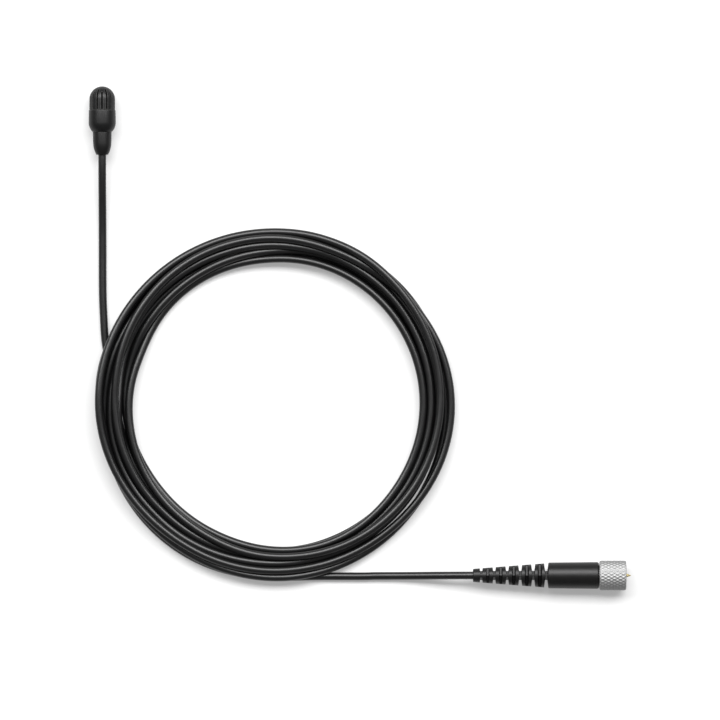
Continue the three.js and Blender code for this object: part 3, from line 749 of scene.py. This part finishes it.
def even_route(points, spacing):
    """The route resampled at an even spacing on a smooth curve through its points."""
    points = np.asarray(points)
    spans = np.linalg.norm(np.diff(points, axis=0), axis=1)
    marks = np.concatenate([[0], np.cumsum(spans)])
    slopes = np.gradient(points, marks, axis=0)
    places = np.linspace(0, marks[-1], int(marks[-1] / spacing) + 1)
    index = np.clip(np.searchsorted(marks, places, "right") - 1, 0, len(spans) - 1)
    width = spans[index][:, None]
    t = ((places - marks[index]) / spans[index])[:, None]
    start, end = points[index], points[index + 1]
    rise, fall = slopes[index] * width, slopes[index + 1] * width
    return (
        (2 * t**3 - 3 * t**2 + 1) * start
        + (t**3 - 2 * t**2 + t) * rise
        + (3 * t**2 - 2 * t**3) * end
        + (t**3 - t**2) * fall
    )


def cable_route(cable):
    """The whole centreline, from inside the head's relief to inside the plug's boot."""
    inner_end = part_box("cable_end_in_head")[1][1]
    boot_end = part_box("cable_end_in_boot")[1][0]
    head, plug = head_centre(), plug_centre()
    coil = Coil(cable)
    coil.settle()
    start = [(head.x, inner_end, head.z), (head.x, inner_end - 2 * MM, head.z)]
    finish = [(boot_end - 8 * MM, plug.y, plug.z), (boot_end, plug.y, plug.z)]
    into = even_route([*start, *HEAD_TAIL, coil.points()[0]], 0.8 * MM)
    out = even_route([coil.points()[-1], *PLUG_TAIL, *finish], 0.8 * MM)
    return np.concatenate([into[:-1], coil.points(), out[1:]])


def make_cable(cable, material):
    """The cable as one curve with a round section."""
    route = cable_route(cable)
    curve = bpy.data.curves.new("cable", "CURVE")
    curve.dimensions = "3D"
    curve.bevel_depth = cable.diameter / 2
    curve.bevel_resolution = 8
    curve.use_fill_caps = True
    spline = curve.splines.new("POLY")
    spline.points.add(len(route) - 1)
    spline.points.foreach_set("co", np.c_[route, np.ones(len(route))].ravel())
    spline.use_smooth = True
    piece = bpy.data.objects.new("cable", curve)
    bpy.context.scene.collection.objects.link(piece)
    tails = ("cable_mic_tail", "cable_coil", "cable_plug_tail")
    ends = ("cable_end_in_head", "cable_end_in_boot")
    return put_on(piece, material, "microphone", "cable_jacket", *tails, *ends)


# ------------------------------------------------------------------------------- the head


class SlottedCap:
    """The cap as a grid of rows from its tip, over its outside, round its skirt and back inside.

    Its columns follow the edges of the slots, whose faces are left out between the two walls.
    """

    RIB_STEPS = 5
    DOME_STEPS = 14
    END_STEPS = 4

    def __init__(self, head):
        self.head = head
        low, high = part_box("front_cap")
        self.radius = (high[0] - low[0]) / 2
        self.tip = high[1]
        self.dome = self.tip - self.radius
        self.ledge = low[1] + head.skirt_length + FIT
        self.slot_low = self.ledge - FIT + head.cap_rim
        self.tops = (head.short_slot_top, head.long_slot_top)

    def stations(self):
        """Rows over the wall, each as (angle from the tip or None, along the axis)."""
        half = self.head.slot_width / 2 / self.radius
        angles = set(np.linspace(0.04, math.pi / 2, self.DOME_STEPS))
        for top in self.tops:
            angles = {a for a in angles if not top - 0.6 * half < a < top + 1.5 * half}
            angles |= {top + half * t for t in np.linspace(0, 1, self.END_STEPS) ** 1.5}
        rows = [(angle, None) for angle in sorted(angles)]
        for share in (0.5, 1.0):
            rows.append((None, self.dome + (self.slot_low - self.dome) * share))
        rows.append((None, self.ledge + 0.05 * MM))
        return rows

    def half_width(self, station, top):
        """Half a slot's width at a station; it is rounded at its upper end."""
        full = self.head.slot_width / 2
        angle = station[0]
        if angle is None:
            return full
        into = np.clip((angle - top) * self.radius / full, 0, 1)
        return full * math.sqrt(1 - (1 - max(into, 0.12)) ** 2)

    def in_slot(self, station, top):
        angle, along = station
        return along >= self.slot_low - 1e-9 if angle is None else angle >= top - 1e-9

    def row(self, station, radius):
        """One ring of points, on the outside or the inside of the wall."""
        angle, along = station
        reach = radius if angle is None else radius * math.sin(angle)
        place = along if angle is None else self.dome + radius * math.cos(angle)
        return self.ring(reach, place, station)

    def ring(self, reach, place, station):
        count = self.head.slot_count
        sector = 2 * math.pi / count
        turns = []
        for slot in range(count):
            half = self.half_width(station, self.tops[slot % 2])
            beside = self.half_width(station, self.tops[(slot + 1) % 2])
            edge = min(math.asin(min(half / reach, 1)), 0.35 * sector)
            next_edge = sector - min(math.asin(min(beside / reach, 1)), 0.35 * sector)
            turns += [-edge + slot * sector, slot * sector]
            ribs = np.linspace(edge, next_edge, self.RIB_STEPS + 1)[:-1]
            turns += list(ribs + slot * sector)
        return on_head(reach, np.array(turns), place)

    def make(self):
        head = self.head
        stations = self.stations()
        wall = len(stations)
        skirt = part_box("head_housing")
        mouth = (skirt[1][0] - skirt[0][0]) / 2 - head.housing_bulge - head.housing_wall
        outer = mouth - head.slide_fit
        inner = outer - head.skirt_wall
        end = self.ledge - FIT - head.skirt_length
        bore = self.radius - head.cap_wall
        rows = [self.row(station, self.radius) for station in stations]
        last = stations[-1]
        soft = 0.05 * MM
        for reach, place in (
            (self.radius - soft, self.ledge),
            (outer + soft, self.ledge),
            (outer, self.ledge - soft),
            (outer, end + soft),
            (outer - soft, end),
            (inner + soft, end),
            (inner, end + soft),
            (inner, self.ledge),
        ):
            rows.append(self.ring(reach, place, last))
        stop = max(self.ledge + head.cap_rim, self.slot_low)
        rows.append(self.ring(bore, stop - 0.01 * MM, last))
        start_inside = len(rows)
        rows += [self.row(station, bore) for station in reversed(stations[:-1])]
        tips = [on_head(0.0, np.zeros(1), self.tip), on_head(0.0, np.zeros(1), self.dome + bore)]
        columns = len(rows[0])
        inside_of = {i: start_inside + (wall - 2 - i) for i in range(wall - 1)}
        faces = self.faces(stations, rows, columns, inside_of)
        base = len(rows) * columns
        for column in range(columns):
            beside = (column + 1) % columns
            faces.append((base, beside, column))
            inside = (len(rows) - 1) * columns
            faces.append((base + 1, inside + column, inside + beside))
        points = np.concatenate([*rows, *tips])
        edges = np.zeros(len(points))
        for i, station in enumerate(stations):
            for column in range(columns):
                slot, place = divmod(column, self.RIB_STEPS + 2)
                if place in (0, 2) and self.in_slot(station, self.tops[slot % 2]):
                    edges[i * columns + column] = 1
        edges[(wall - 1) * columns : (wall + 1) * columns] = 1
        piece = make_mesh("cap_with_slots", points, faces, {"edge": edges})
        bevel = piece.modifiers.new("soft_edges", "BEVEL")
        bevel.width = 0.022 * MM
        bevel.segments = 2
        bevel.limit_method = "ANGLE"
        bevel.angle_limit = math.radians(40)
        even_normals(piece)
        return piece

    def faces(self, stations, rows, columns, inside_of):
        """Both walls without the slots, and the slots' own sides and ends."""
        faces = []
        wall = len(stations)
        per_sector = self.RIB_STEPS + 2
        mirror = {inside: outside for outside, inside in inside_of.items()}

        def open_between(first, second, column):
            slot, place = divmod(column, per_sector)
            if place > 1:
                return False
            top = self.tops[slot % 2]
            pair = (mirror.get(first, first), mirror.get(second, second))
            if max(pair) >= wall:
                return False
            return all(self.in_slot(stations[i], top) for i in pair)

        def across(i, j, a, b):
            """A face from the outer wall to the inner, between two of a slot's points."""
            outer = (i * columns + a, j * columns + b)
            return (*outer, inside_of[j] * columns + b, inside_of[i] * columns + a)

        for first in range(len(rows) - 1):
            for column in range(columns):
                if open_between(first, first + 1, column):
                    continue
                beside = (column + 1) % columns
                a, b = first * columns + column, first * columns + beside
                faces.append((a, b, b + columns, a + columns))
        for slot in range(self.head.slot_count):
            top = self.tops[slot % 2]
            inside = [i for i in range(wall - 1) if self.in_slot(stations[i], top)]
            left, middle, right = (slot * per_sector + k for k in range(3))
            for i, j in zip(inside, inside[1:]):
                faces += [across(i, j, left, left), across(i, j, right, right)]
            for i in (inside[0], inside[-1]):
                faces += [across(i, i, left, middle), across(i, i, middle, right)]
        return faces


def make_liner():
    """The thin dome of wire cloth behind the slots."""
    low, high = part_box("cap_screen")
    radius = (high[0] - low[0]) / 2
    thickness = 0.08 * MM
    dome = high[1] - radius
    outline = arc(0, dome, radius - thickness, radius - thickness, 90, 0, 20)
    outline += [(radius - thickness, low[1], 0), (radius, low[1], 0)]
    outline += arc(0, dome, radius, radius, 0, 90, 20)
    return turned_piece("cap_liner", outline, on_head, 96)


def make_housing(head):
    """The turned housing, with a soft front edge and a rounded shoulder."""
    low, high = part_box("head_housing")
    widest = (high[0] - low[0]) / 2
    front, rear = high[1], low[1]
    front_radius = widest - head.housing_bulge
    bore = front_radius - head.housing_wall
    ring = front - head.bulge_setback
    rear_radius = head.housing_rear_radius
    neck = head.neck_radius + FIT
    floor = rear + head.housing_base
    corners = [
        (neck, rear, 0.05 * MM),
        *taper_curve((rear_radius, rear), (widest, ring), head.shoulder_turn, 16),
        (front_radius, front, 0.09 * MM),
        (bore, front, 0.06 * MM),
        (bore, floor, 0.1 * MM),
        (neck, floor, 0.05 * MM),
    ]
    return turned_piece("housing_shell", rounded(corners), on_head)


def make_relief(head):
    """The tapered grip behind the housing, and its neck."""
    low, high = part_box("strain_relief")
    housing_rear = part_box("head_housing")[0][1]
    front = housing_rear - FIT
    radius = (high[0] - low[0]) / 2
    nose = radius - head.relief_taper
    bore = CABLE_BORE
    tip = head.relief_tip_radius
    corners = [
        (bore, low[1] + 0.04 * MM, 0.06 * MM),
        *taper_curve((tip, low[1]), (nose, low[1] + head.relief_nose), head.nose_turn, 16),
        (radius, front, 0.07 * MM),
        (head.neck_radius, front, 0),
        (head.neck_radius, high[1], 0.05 * MM),
        (bore, high[1], 0.05 * MM),
    ]
    return turned_piece("relief_grip", rounded(corners), on_head, 112)


def make_can():
    """The capsule's drawn can, with its sound hole and its crimped rear edge."""
    low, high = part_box("capsule_can")
    radius = (high[0] - low[0]) / 2
    wall = 0.12 * MM
    hole, lip = 0.5 * MM, radius - 0.42 * MM
    front, rear = high[1], low[1]
    corners = [
        (hole, front - wall, 0),
        (radius - wall, front - wall, 0.06 * MM),
        (radius - wall, rear + wall, 0.05 * MM),
        (lip, rear + wall, 0.02 * MM),
        (lip, rear, 0.02 * MM),
        (radius, rear, 0.12 * MM),
        (radius, front, 0.14 * MM),
        (hole, front, 0.04 * MM),
    ]
    return turned_piece("capsule_shell", rounded(corners), on_head, 96)


# ------------------------------------------------------------------------------- the plug


def boot_radius(plug, along, total):
    """Radius of the boot's outside at each place along it, without its notches."""
    cone = plug.cone_length
    soft = plug.sleeve_rounding
    low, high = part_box("plug_boot")
    sleeve = (high[1] - low[1]) / 2
    marks = [0, cone - 0.12 * MM, cone, cone + soft, total]
    radii = [
        plug.tip_radius,
        plug.cone_base_radius,
        plug.cone_base_radius,
        plug.sleeve_rear_radius,
        sleeve,
    ]
    radius = np.interp(along, marks, radii)
    start = np.clip(1 - along / (0.18 * MM), 0, 1)
    step = np.clip((along - cone) / soft, 0, 1)
    rise = plug.sleeve_rear_radius - plug.cone_base_radius
    radius = np.where(
        (along > cone) & (along < cone + soft),
        plug.cone_base_radius + rise * np.sqrt(1 - (1 - step) ** 2),
        radius,
    )
    end = np.clip(1 - (total - along) / soft, 0, 1)
    radius -= 0.18 * MM * (1 - np.sqrt(1 - start**2))
    return radius - soft * (1 - np.sqrt(np.clip(1 - end**2, 0, 1)))


def notch_limit(plug, along, turns, first):
    """How far out the boot reaches between facing notches. Each floor is a shallow roof.

    The notches lie along the boot from the first place on. Turn 0 faces straight into them.
    """
    nearest = first + plug.notch_pitch * np.round((along - first) / plug.notch_pitch)
    inside = (nearest > first - 1e-6) & (nearest < plug.cone_length)
    wall = (np.abs(along - nearest) - plug.notch_floor_width / 2) / (
        (plug.notch_mouth - plug.notch_floor_width) / 2
    )
    depth = np.where(inside, np.clip(wall, 0, None) * 1.5 * MM, 1.0)
    from_crest = np.hypot(np.arccos(np.clip(np.abs(np.cos(turns)), 0, 1)), 0.1)
    floor = plug.notch_floor * math.cos(plug.notch_slope)
    return (floor + depth)[:, None] / np.maximum(np.cos(from_crest - plug.notch_slope), 1e-3)


def make_boot(plug):
    """Sleeve and notched strain relief in one moulding, open inside for the connector."""
    low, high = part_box("plug_boot")
    start, total = low[0], high[0] - low[0]
    sides = 144
    fine = np.arange(0, plug.cone_length + plug.sleeve_rounding, 0.035 * MM)
    tip = np.linspace(0, 0.18 * MM, 6)
    end = total - plug.sleeve_rounding * (1 - np.sin(np.linspace(0, math.pi / 2, 9)))
    sleeve = np.linspace(fine[-1], end[0], 12)[1:-1]
    places = np.concatenate([tip, fine[fine > tip[-1] + 1e-6], sleeve, end])
    turns = np.linspace(0, 2 * math.pi, sides, endpoint=False)
    plain = boot_radius(plug, places, total)[:, None] + 0 * turns
    across = notch_limit(plug, places, turns - math.pi / 2, plug.notch_start)
    upright = notch_limit(plug, places, turns, plug.notch_start + plug.notch_pitch / 2)
    nearest = np.minimum(across, upright)
    radii = soft_minimum(plain, nearest, 0.09 * MM)
    edges = np.exp(-(((plain - nearest) / (0.09 * MM)) ** 2))
    edges[places > plug.cone_length] = 0
    edges[-5:] = 0.6
    outside = [on_plug(row, turns, start + place) for row, place in zip(radii, places)]
    inside = []
    bore, cavity, shell = CABLE_BORE, 1.37 * MM, plug.shell_radius + FIT
    jacket_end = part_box("cable_end_in_boot")[1][0] + FIT
    barrel_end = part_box("crimp_ferrule")[1][0] + 0.57 * MM
    for radius, along in (
        (shell, high[0]),
        (shell, barrel_end),
        (cavity, barrel_end),
        (cavity, jacket_end),
        (bore, jacket_end),
        (bore, start),
    ):
        inside.append(on_plug(radius + 0 * turns, turns, along))
    masks = np.concatenate([edges, np.zeros((len(inside), sides))])
    rows = outside + inside
    return make_mesh("boot", rows, grid_faces(len(rows), sides, True), {"edge": masks})


def make_nut(plug):
    """The coupling nut: diamond knurl outside, thread inside, lip behind."""
    low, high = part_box("coupling_nut")
    start, end = low[0], high[0]
    total = end - start
    radius = (high[1] - low[1]) / 2
    soft = 0.36 * MM  # rounding of the nut's two ends
    steps_per_diamond = 14
    sides = plug.knurl_around * 8
    turns = np.linspace(0, 2 * math.pi, sides, endpoint=False)
    fall = np.sin(np.linspace(0, math.pi / 2, 7))
    flat = np.arange(soft + 0.02 * MM, total - soft, plug.knurl_pitch / steps_per_diamond)
    places = np.concatenate([soft * (1 - fall[::-1])[:-1], [soft], flat, total - soft * (1 - fall)])
    places = np.unique(np.round(places, 8))
    from_end = np.minimum(places, total - places)
    into = np.clip(1 - from_end / soft, 0, 1)
    body = radius - soft * (1 - np.sqrt(1 - into**2))
    lead = places[:, None] / plug.knurl_pitch
    around = turns[None, :] * plug.knurl_around / (2 * math.pi)
    pyramid = np.minimum(triangle_wave(around + lead), triangle_wave(around - lead))
    height = np.minimum(pyramid * 1.35, 1.0)
    strength = np.clip(from_end / (0.22 * MM), 0, 1)[:, None]
    radii = body[:, None] - plug.knurl_depth * strength * (1 - height)
    outside = [on_plug(row, turns, start + place) for row, place in zip(radii, places)]
    # The groove mask is deepest in the knurl's valleys; the nickel finish paints shade there.
    grooves = list((1 - height) * strength)
    rows, masks = outside, grooves
    mouth = plug.thread_radius + 0.2 * MM
    front = [(radius - 0.45 * MM, end), (mouth, end), (plug.thread_radius, end - 0.2 * MM)]
    for reach, along in front:
        rows.append(on_plug(reach + 0 * turns, turns, along))
        masks.append(np.zeros(sides))
    back = start + plug.nut_lip
    depth_places = np.arange(end - 0.3 * MM, back + 1.2 * MM, -plug.thread_pitch / 12)
    for along in depth_places:
        wave = triangle_wave(along / plug.thread_pitch + turns / (2 * math.pi))
        fade = np.clip(min(end - 0.25 * MM - along, along - back - 1.2 * MM) / (0.4 * MM), 0, 1)
        ridge = np.clip(wave * 1.5 - 0.25, 0, 1) * fade
        rows.append(on_plug(plug.thread_radius - plug.thread_depth * ridge, turns, along))
        # The thread's valleys get the same painted shade.
        masks.append((1 - ridge) * 0.8)
    lip = plug.shell_radius + 0.05 * MM
    rear = [(plug.thread_radius, back + 1.1 * MM), (plug.thread_radius, back), (lip, back)]
    for reach, along in [*rear, (lip, start), (radius - 0.45 * MM, start)]:
        rows.append(on_plug(reach + 0 * turns, turns, along))
        masks.append(np.zeros(sides))
    return make_mesh("knurled_nut", rows, grid_faces(len(rows), sides, True), {"groove": masks})


def make_shell(plug):
    """The connector's metal body, with the flange that holds the nut."""
    low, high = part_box("connector_shell")
    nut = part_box("coupling_nut")
    front, rear = high[0], low[0]
    barrel_end = rear + 4.2 * MM
    flange_rear = nut[0][0] + plug.nut_lip + 0.05 * MM
    flange_front = flange_rear + 0.6 * MM
    shell = plug.shell_radius
    soft = 0.06 * MM
    corners = [
        (CORE_BORE, rear, 0.02 * MM),
        (CABLE_BORE, rear, 0.05 * MM),
        (CABLE_BORE, barrel_end, 0),
        (shell, barrel_end, soft),
        (shell, flange_rear, 0),
        (shell + 0.3 * MM, flange_rear, soft),
        (shell + 0.3 * MM, flange_front, soft),
        (shell - 0.25 * MM, flange_front, 0.03 * MM),
        (shell - 0.25 * MM, front, 0.14 * MM),
        (shell - 0.7 * MM, front, 0.1 * MM),
        (shell - 0.7 * MM, barrel_end + 0.3 * MM, 0),
        (CORE_BORE, barrel_end + 0.3 * MM, 0),
    ]
    return turned_piece("connector_body", rounded(corners), on_plug, 112)


def make_insulator():
    """The white disc around the pin, slightly dished at its face."""
    low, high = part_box("pin_insulator")
    radius = (high[1] - low[1]) / 2
    corners = [
        (PIN_BORE, low[0], 0),
        (radius, low[0], 0),
        (radius, high[0], 0.08 * MM),
        (radius - 0.2 * MM, high[0], 0.05 * MM),
        (radius - 0.26 * MM, high[0] - 0.08 * MM, 0.05 * MM),
        (PIN_BORE, high[0] - 0.08 * MM, 0.03 * MM),
    ]
    return turned_piece("insulator", rounded(corners), on_plug, 96)


def make_pin():
    """The centre pin: a rod with a solder cup behind and a long cone in front."""
    low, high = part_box("centre_pin")
    nut_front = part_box("coupling_nut")[1][0]
    radius = (high[1] - low[1]) / 2
    cup = low[0] + 1.0 * MM
    corners = [
        (0.0, cup, 0),
        (0.18 * MM, cup, 0),
        (0.18 * MM, low[0], 0.02 * MM),
        (radius, low[0], 0.04 * MM),
        (radius, nut_front - 0.05 * MM, 0.12 * MM),
        (0.07 * MM, high[0] - 0.03 * MM, 0.05 * MM),
        (0.0, high[0], 0),
    ]
    return turned_piece("pin", rounded(corners), on_plug, 64)


# ------------------------------------------------------------------------------- operators


class LAVALIER_OT_camera(bpy.types.Operator):
    """Sets the camera straight above the table"""

    bl_idname = "lavalier.camera"
    bl_label = "Camera"

    def execute(self, context):
        stage = context.scene.lavalier_stage
        data = bpy.data.cameras.new("camera")
        data.lens = stage.lens
        data.clip_start, data.clip_end = 0.01, 20
        camera = bpy.data.objects.new("camera", data)
        distance = stage.view_width * data.lens / data.sensor_width
        camera.location = (stage.centre_x, stage.centre_y, plug_centre().z + distance)
        context.scene.collection.objects.link(camera)
        context.scene.camera = camera
        return {"FINISHED"}


class LAVALIER_OT_cable(bpy.types.Operator):
    """Winds the cable into its coil and lays its two ends to the head and the plug"""

    bl_idname = "lavalier.cable"
    bl_label = "Cable"

    def execute(self, context):
        make_cable(context.scene.lavalier_cable, cable_jacket(context.scene.lavalier_finish))
        return {"FINISHED"}


class LAVALIER_OT_head(bpy.types.Operator):
    """Makes the slotted cap, its liner, the housing and the strain relief"""

    bl_idname = "lavalier.head"
    bl_label = "Head"

    def execute(self, context):
        head, finish = context.scene.lavalier_head, context.scene.lavalier_finish
        black = satin_black_metal(finish)
        moulding = soft_black_moulding(finish)
        cloth = woven_liner(finish, head.mesh_pitch)
        put_on(SlottedCap(head).make(), black, "cap", "satin_black_metal", "front_cap")
        put_on(make_liner(), cloth, "cap", "fine_steel_mesh", "cap_screen")
        put_on(make_housing(head), black, "microphone", "satin_black_metal", "head_housing")
        put_on(make_relief(head), moulding, "microphone", "soft_black_moulding", "strain_relief")
        return {"FINISHED"}


class LAVALIER_OT_plug(bpy.types.Operator):
    """Makes the boot, the connector's body, its insulator and its pin"""

    bl_idname = "lavalier.plug"
    bl_label = "Plug"

    def execute(self, context):
        plug, finish = context.scene.lavalier_plug, context.scene.lavalier_finish
        moulding = soft_black_moulding(finish)
        nickel = plated_nickel(finish, "nickel_body")
        resin = plain_plastic("white_resin", finish.resin, 0.38)
        gold = plain_metal("gold_contact", finish.gold, 0.24, "X")
        put_on(make_boot(plug), moulding, "microphone", "soft_black_moulding", "plug_boot")
        put_on(make_shell(plug), nickel, "microphone", "bright_nickel", "connector_shell")
        put_on(make_insulator(), resin, "microphone", "white_resin", "pin_insulator")
        put_on(make_pin(), gold, "microphone", "gold_contact", "centre_pin")
        return {"FINISHED"}


class LAVALIER_OT_nut(bpy.types.Operator):
    """Makes the knurled coupling nut"""

    bl_idname = "lavalier.nut"
    bl_label = "Coupling Nut"

    def execute(self, context):
        nickel = plated_nickel(context.scene.lavalier_finish)
        nut = make_nut(context.scene.lavalier_plug)
        put_on(nut, nickel, "nut", "bright_nickel", "coupling_nut")
        return {"FINISHED"}


class LAVALIER_OT_inner_pieces(bpy.types.Operator):
    """Gives the pieces inside the head and the plug their materials"""

    bl_idname = "lavalier.inner_pieces"
    bl_label = "Inner Pieces"

    def execute(self, context):
        finish = context.scene.lavalier_finish
        steel = plain_metal("plain_steel", finish.steel, 0.3)
        gold = plain_metal("gold_plate", finish.gold, 0.28)
        copper = plain_metal("bare_copper", finish.copper, 0.34)
        film = plain_plastic("thin_film", finish.film, 0.25)
        resin = plain_plastic("holder_resin", finish.resin, 0.45)
        board = plain_plastic("green_board", finish.board, 0.35, 0.008)
        chip = plain_plastic("black_chip", finish.chip, 0.45, 0.01)
        seal = plain_plastic("rubber_seal", finish.seal, 0.6, 0.012)
        put_on(make_can(), steel, "microphone", "plain_steel", "capsule_can")
        dressing = {
            seal: ("capsule_gasket",),
            gold: ("diaphragm_frame", "backplate", "gate_contact_ring"),
            film: ("diaphragm", "spacer_ring"),
            resin: ("backplate_holder", "core_insulation"),
            chip: ("amplifier_chip",),
            board: ("circuit_board",),
            steel: ("cable_crimp", "ground_wire", "crimp_ferrule"),
            copper: ("signal_wire", "core_conductor"),
            braided_copper(finish): ("shield_braid",),
        }
        for material, nodes in dressing.items():
            for node in nodes:
                dress(node, material)
        return {"FINISHED"}


def dress(node, material):
    """Gives a piece that is carried over from the frame a new material."""
    piece = bpy.data.objects[node]
    piece.data.materials.clear()
    piece.data.materials.append(material)


class LAVALIER_OT_declare_cable(bpy.types.Operator):
    """Lists the pieces on the cable's far end, and does nothing with them"""

    bl_idname = "lavalier.declare_cable"
    bl_label = "Declare Cable"

    ON_THE_CABLE = (
        "boot",
        "connector_body",
        "insulator",
        "pin",
        "knurled_nut",
        "core_insulation",
        "core_conductor",
        "shield_braid",
        "crimp_ferrule",
    )

    def execute(self, context):
        list(self.ON_THE_CABLE)
        return {"FINISHED"}


class LAVALIER_OT_stage(bpy.types.Operator):
    """Makes the pale floor and the soft studio lights"""

    bl_idname = "lavalier.stage"
    bl_label = "Stage"

    def execute(self, context):
        stage = context.scene.lavalier_stage
        self.make_floor(stage)
        self.make_softbox(stage, (6.0, 1.6), 3.2)
        world = bpy.data.worlds.new("room")
        world.use_nodes = True
        room = world.node_tree.nodes["Background"]
        room.inputs["Color"].default_value = (1, 1, 1, 1)
        room.inputs["Strength"].default_value = stage.world_level
        context.scene.world = world
        context.scene.view_settings.view_transform = "Standard"
        return {"FINISHED"}

    def make_floor(self, stage):
        half = 6.0
        corners = [(-half, -half, 0), (half, -half, 0), (half, half, 0), (-half, half, 0)]
        mesh = bpy.data.meshes.new("floor")
        mesh.from_pydata(corners, [], [(0, 1, 2, 3)])
        s = Shader("pale_floor")
        cloud = s.noise(0.25)
        base = s.blend(cloud, solid(stage.floor, 0.985), solid(stage.floor, 1.0))
        glow = {"Emission_Color": (1, 1, 1, 1), "Emission_Strength": stage.floor_glow}
        mesh.materials.append(s.surface(Base_Color=base, Roughness=0.7, **glow))
        floor = bpy.data.objects.new("floor", mesh)
        bpy.context.scene.collection.objects.link(floor)

    def make_softbox(self, stage, size, distance):
        """A wide, even light that faces the middle of the coil."""
        data = bpy.data.lights.new("softbox", "AREA")
        data.shape = "RECTANGLE"
        data.size, data.size_y = size
        data.energy = stage.key_level * math.pi * size[0] * size[1]
        light = bpy.data.objects.new("softbox", data)
        low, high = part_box("cable_coil")
        middle = (Vector(low) + Vector(high)) / 2
        back = Vector((0, math.sin(stage.key_tilt), math.cos(stage.key_tilt)))
        light.location = middle + distance * back
        light.rotation_euler = (-stage.key_tilt, 0, 0)
        bpy.context.scene.collection.objects.link(light)


class LAVALIER_PT_panel(bpy.types.Panel):
    """Lists the steps and their settings"""

    bl_idname = "LAVALIER_PT_panel"
    bl_label = "Lavalier Microphone"
    bl_space_type = "VIEW_3D"
    bl_region_type = "UI"
    bl_category = "Lavalier"

    def draw(self, context):
        for operator in OPERATORS:
            self.layout.operator(operator.bl_idname)
        for key, group in SETTINGS.items():
            box = self.layout.box()
            box.label(text=group.__doc__)
            for name in group.__annotations__:
                box.prop(getattr(context.scene, key), name)


SETTINGS = {
    "lavalier_cable": CableSettings,
    "lavalier_head": HeadSettings,
    "lavalier_plug": PlugSettings,
    "lavalier_finish": FinishSettings,
    "lavalier_stage": StageSettings,
}
OPERATORS = (
    LAVALIER_OT_camera,
    LAVALIER_OT_cable,
    LAVALIER_OT_head,
    LAVALIER_OT_plug,
    LAVALIER_OT_nut,
    LAVALIER_OT_inner_pieces,
    LAVALIER_OT_declare_cable,
    LAVALIER_OT_stage,
)


def register():
    for kind in (*SETTINGS.values(), *OPERATORS, LAVALIER_PT_panel):
        bpy.utils.register_class(kind)
    for key, group in SETTINGS.items():
        setattr(bpy.types.Scene, key, PointerProperty(type=group))


def unregister():
    for key in SETTINGS:
        delattr(bpy.types.Scene, key)
    for kind in (LAVALIER_PT_panel, *reversed(OPERATORS), *reversed(SETTINGS.values())):
        bpy.utils.unregister_class(kind)


def main():
    """Makes every piece in order."""
    register()
    bpy.ops.lavalier.camera()
    bpy.ops.lavalier.cable()
    bpy.ops.lavalier.head()
    bpy.ops.lavalier.plug()
    bpy.ops.lavalier.nut()
    bpy.ops.lavalier.inner_pieces()
    bpy.ops.lavalier.declare_cable()
    bpy.ops.lavalier.stage()


if __name__ == "__main__":
    main()
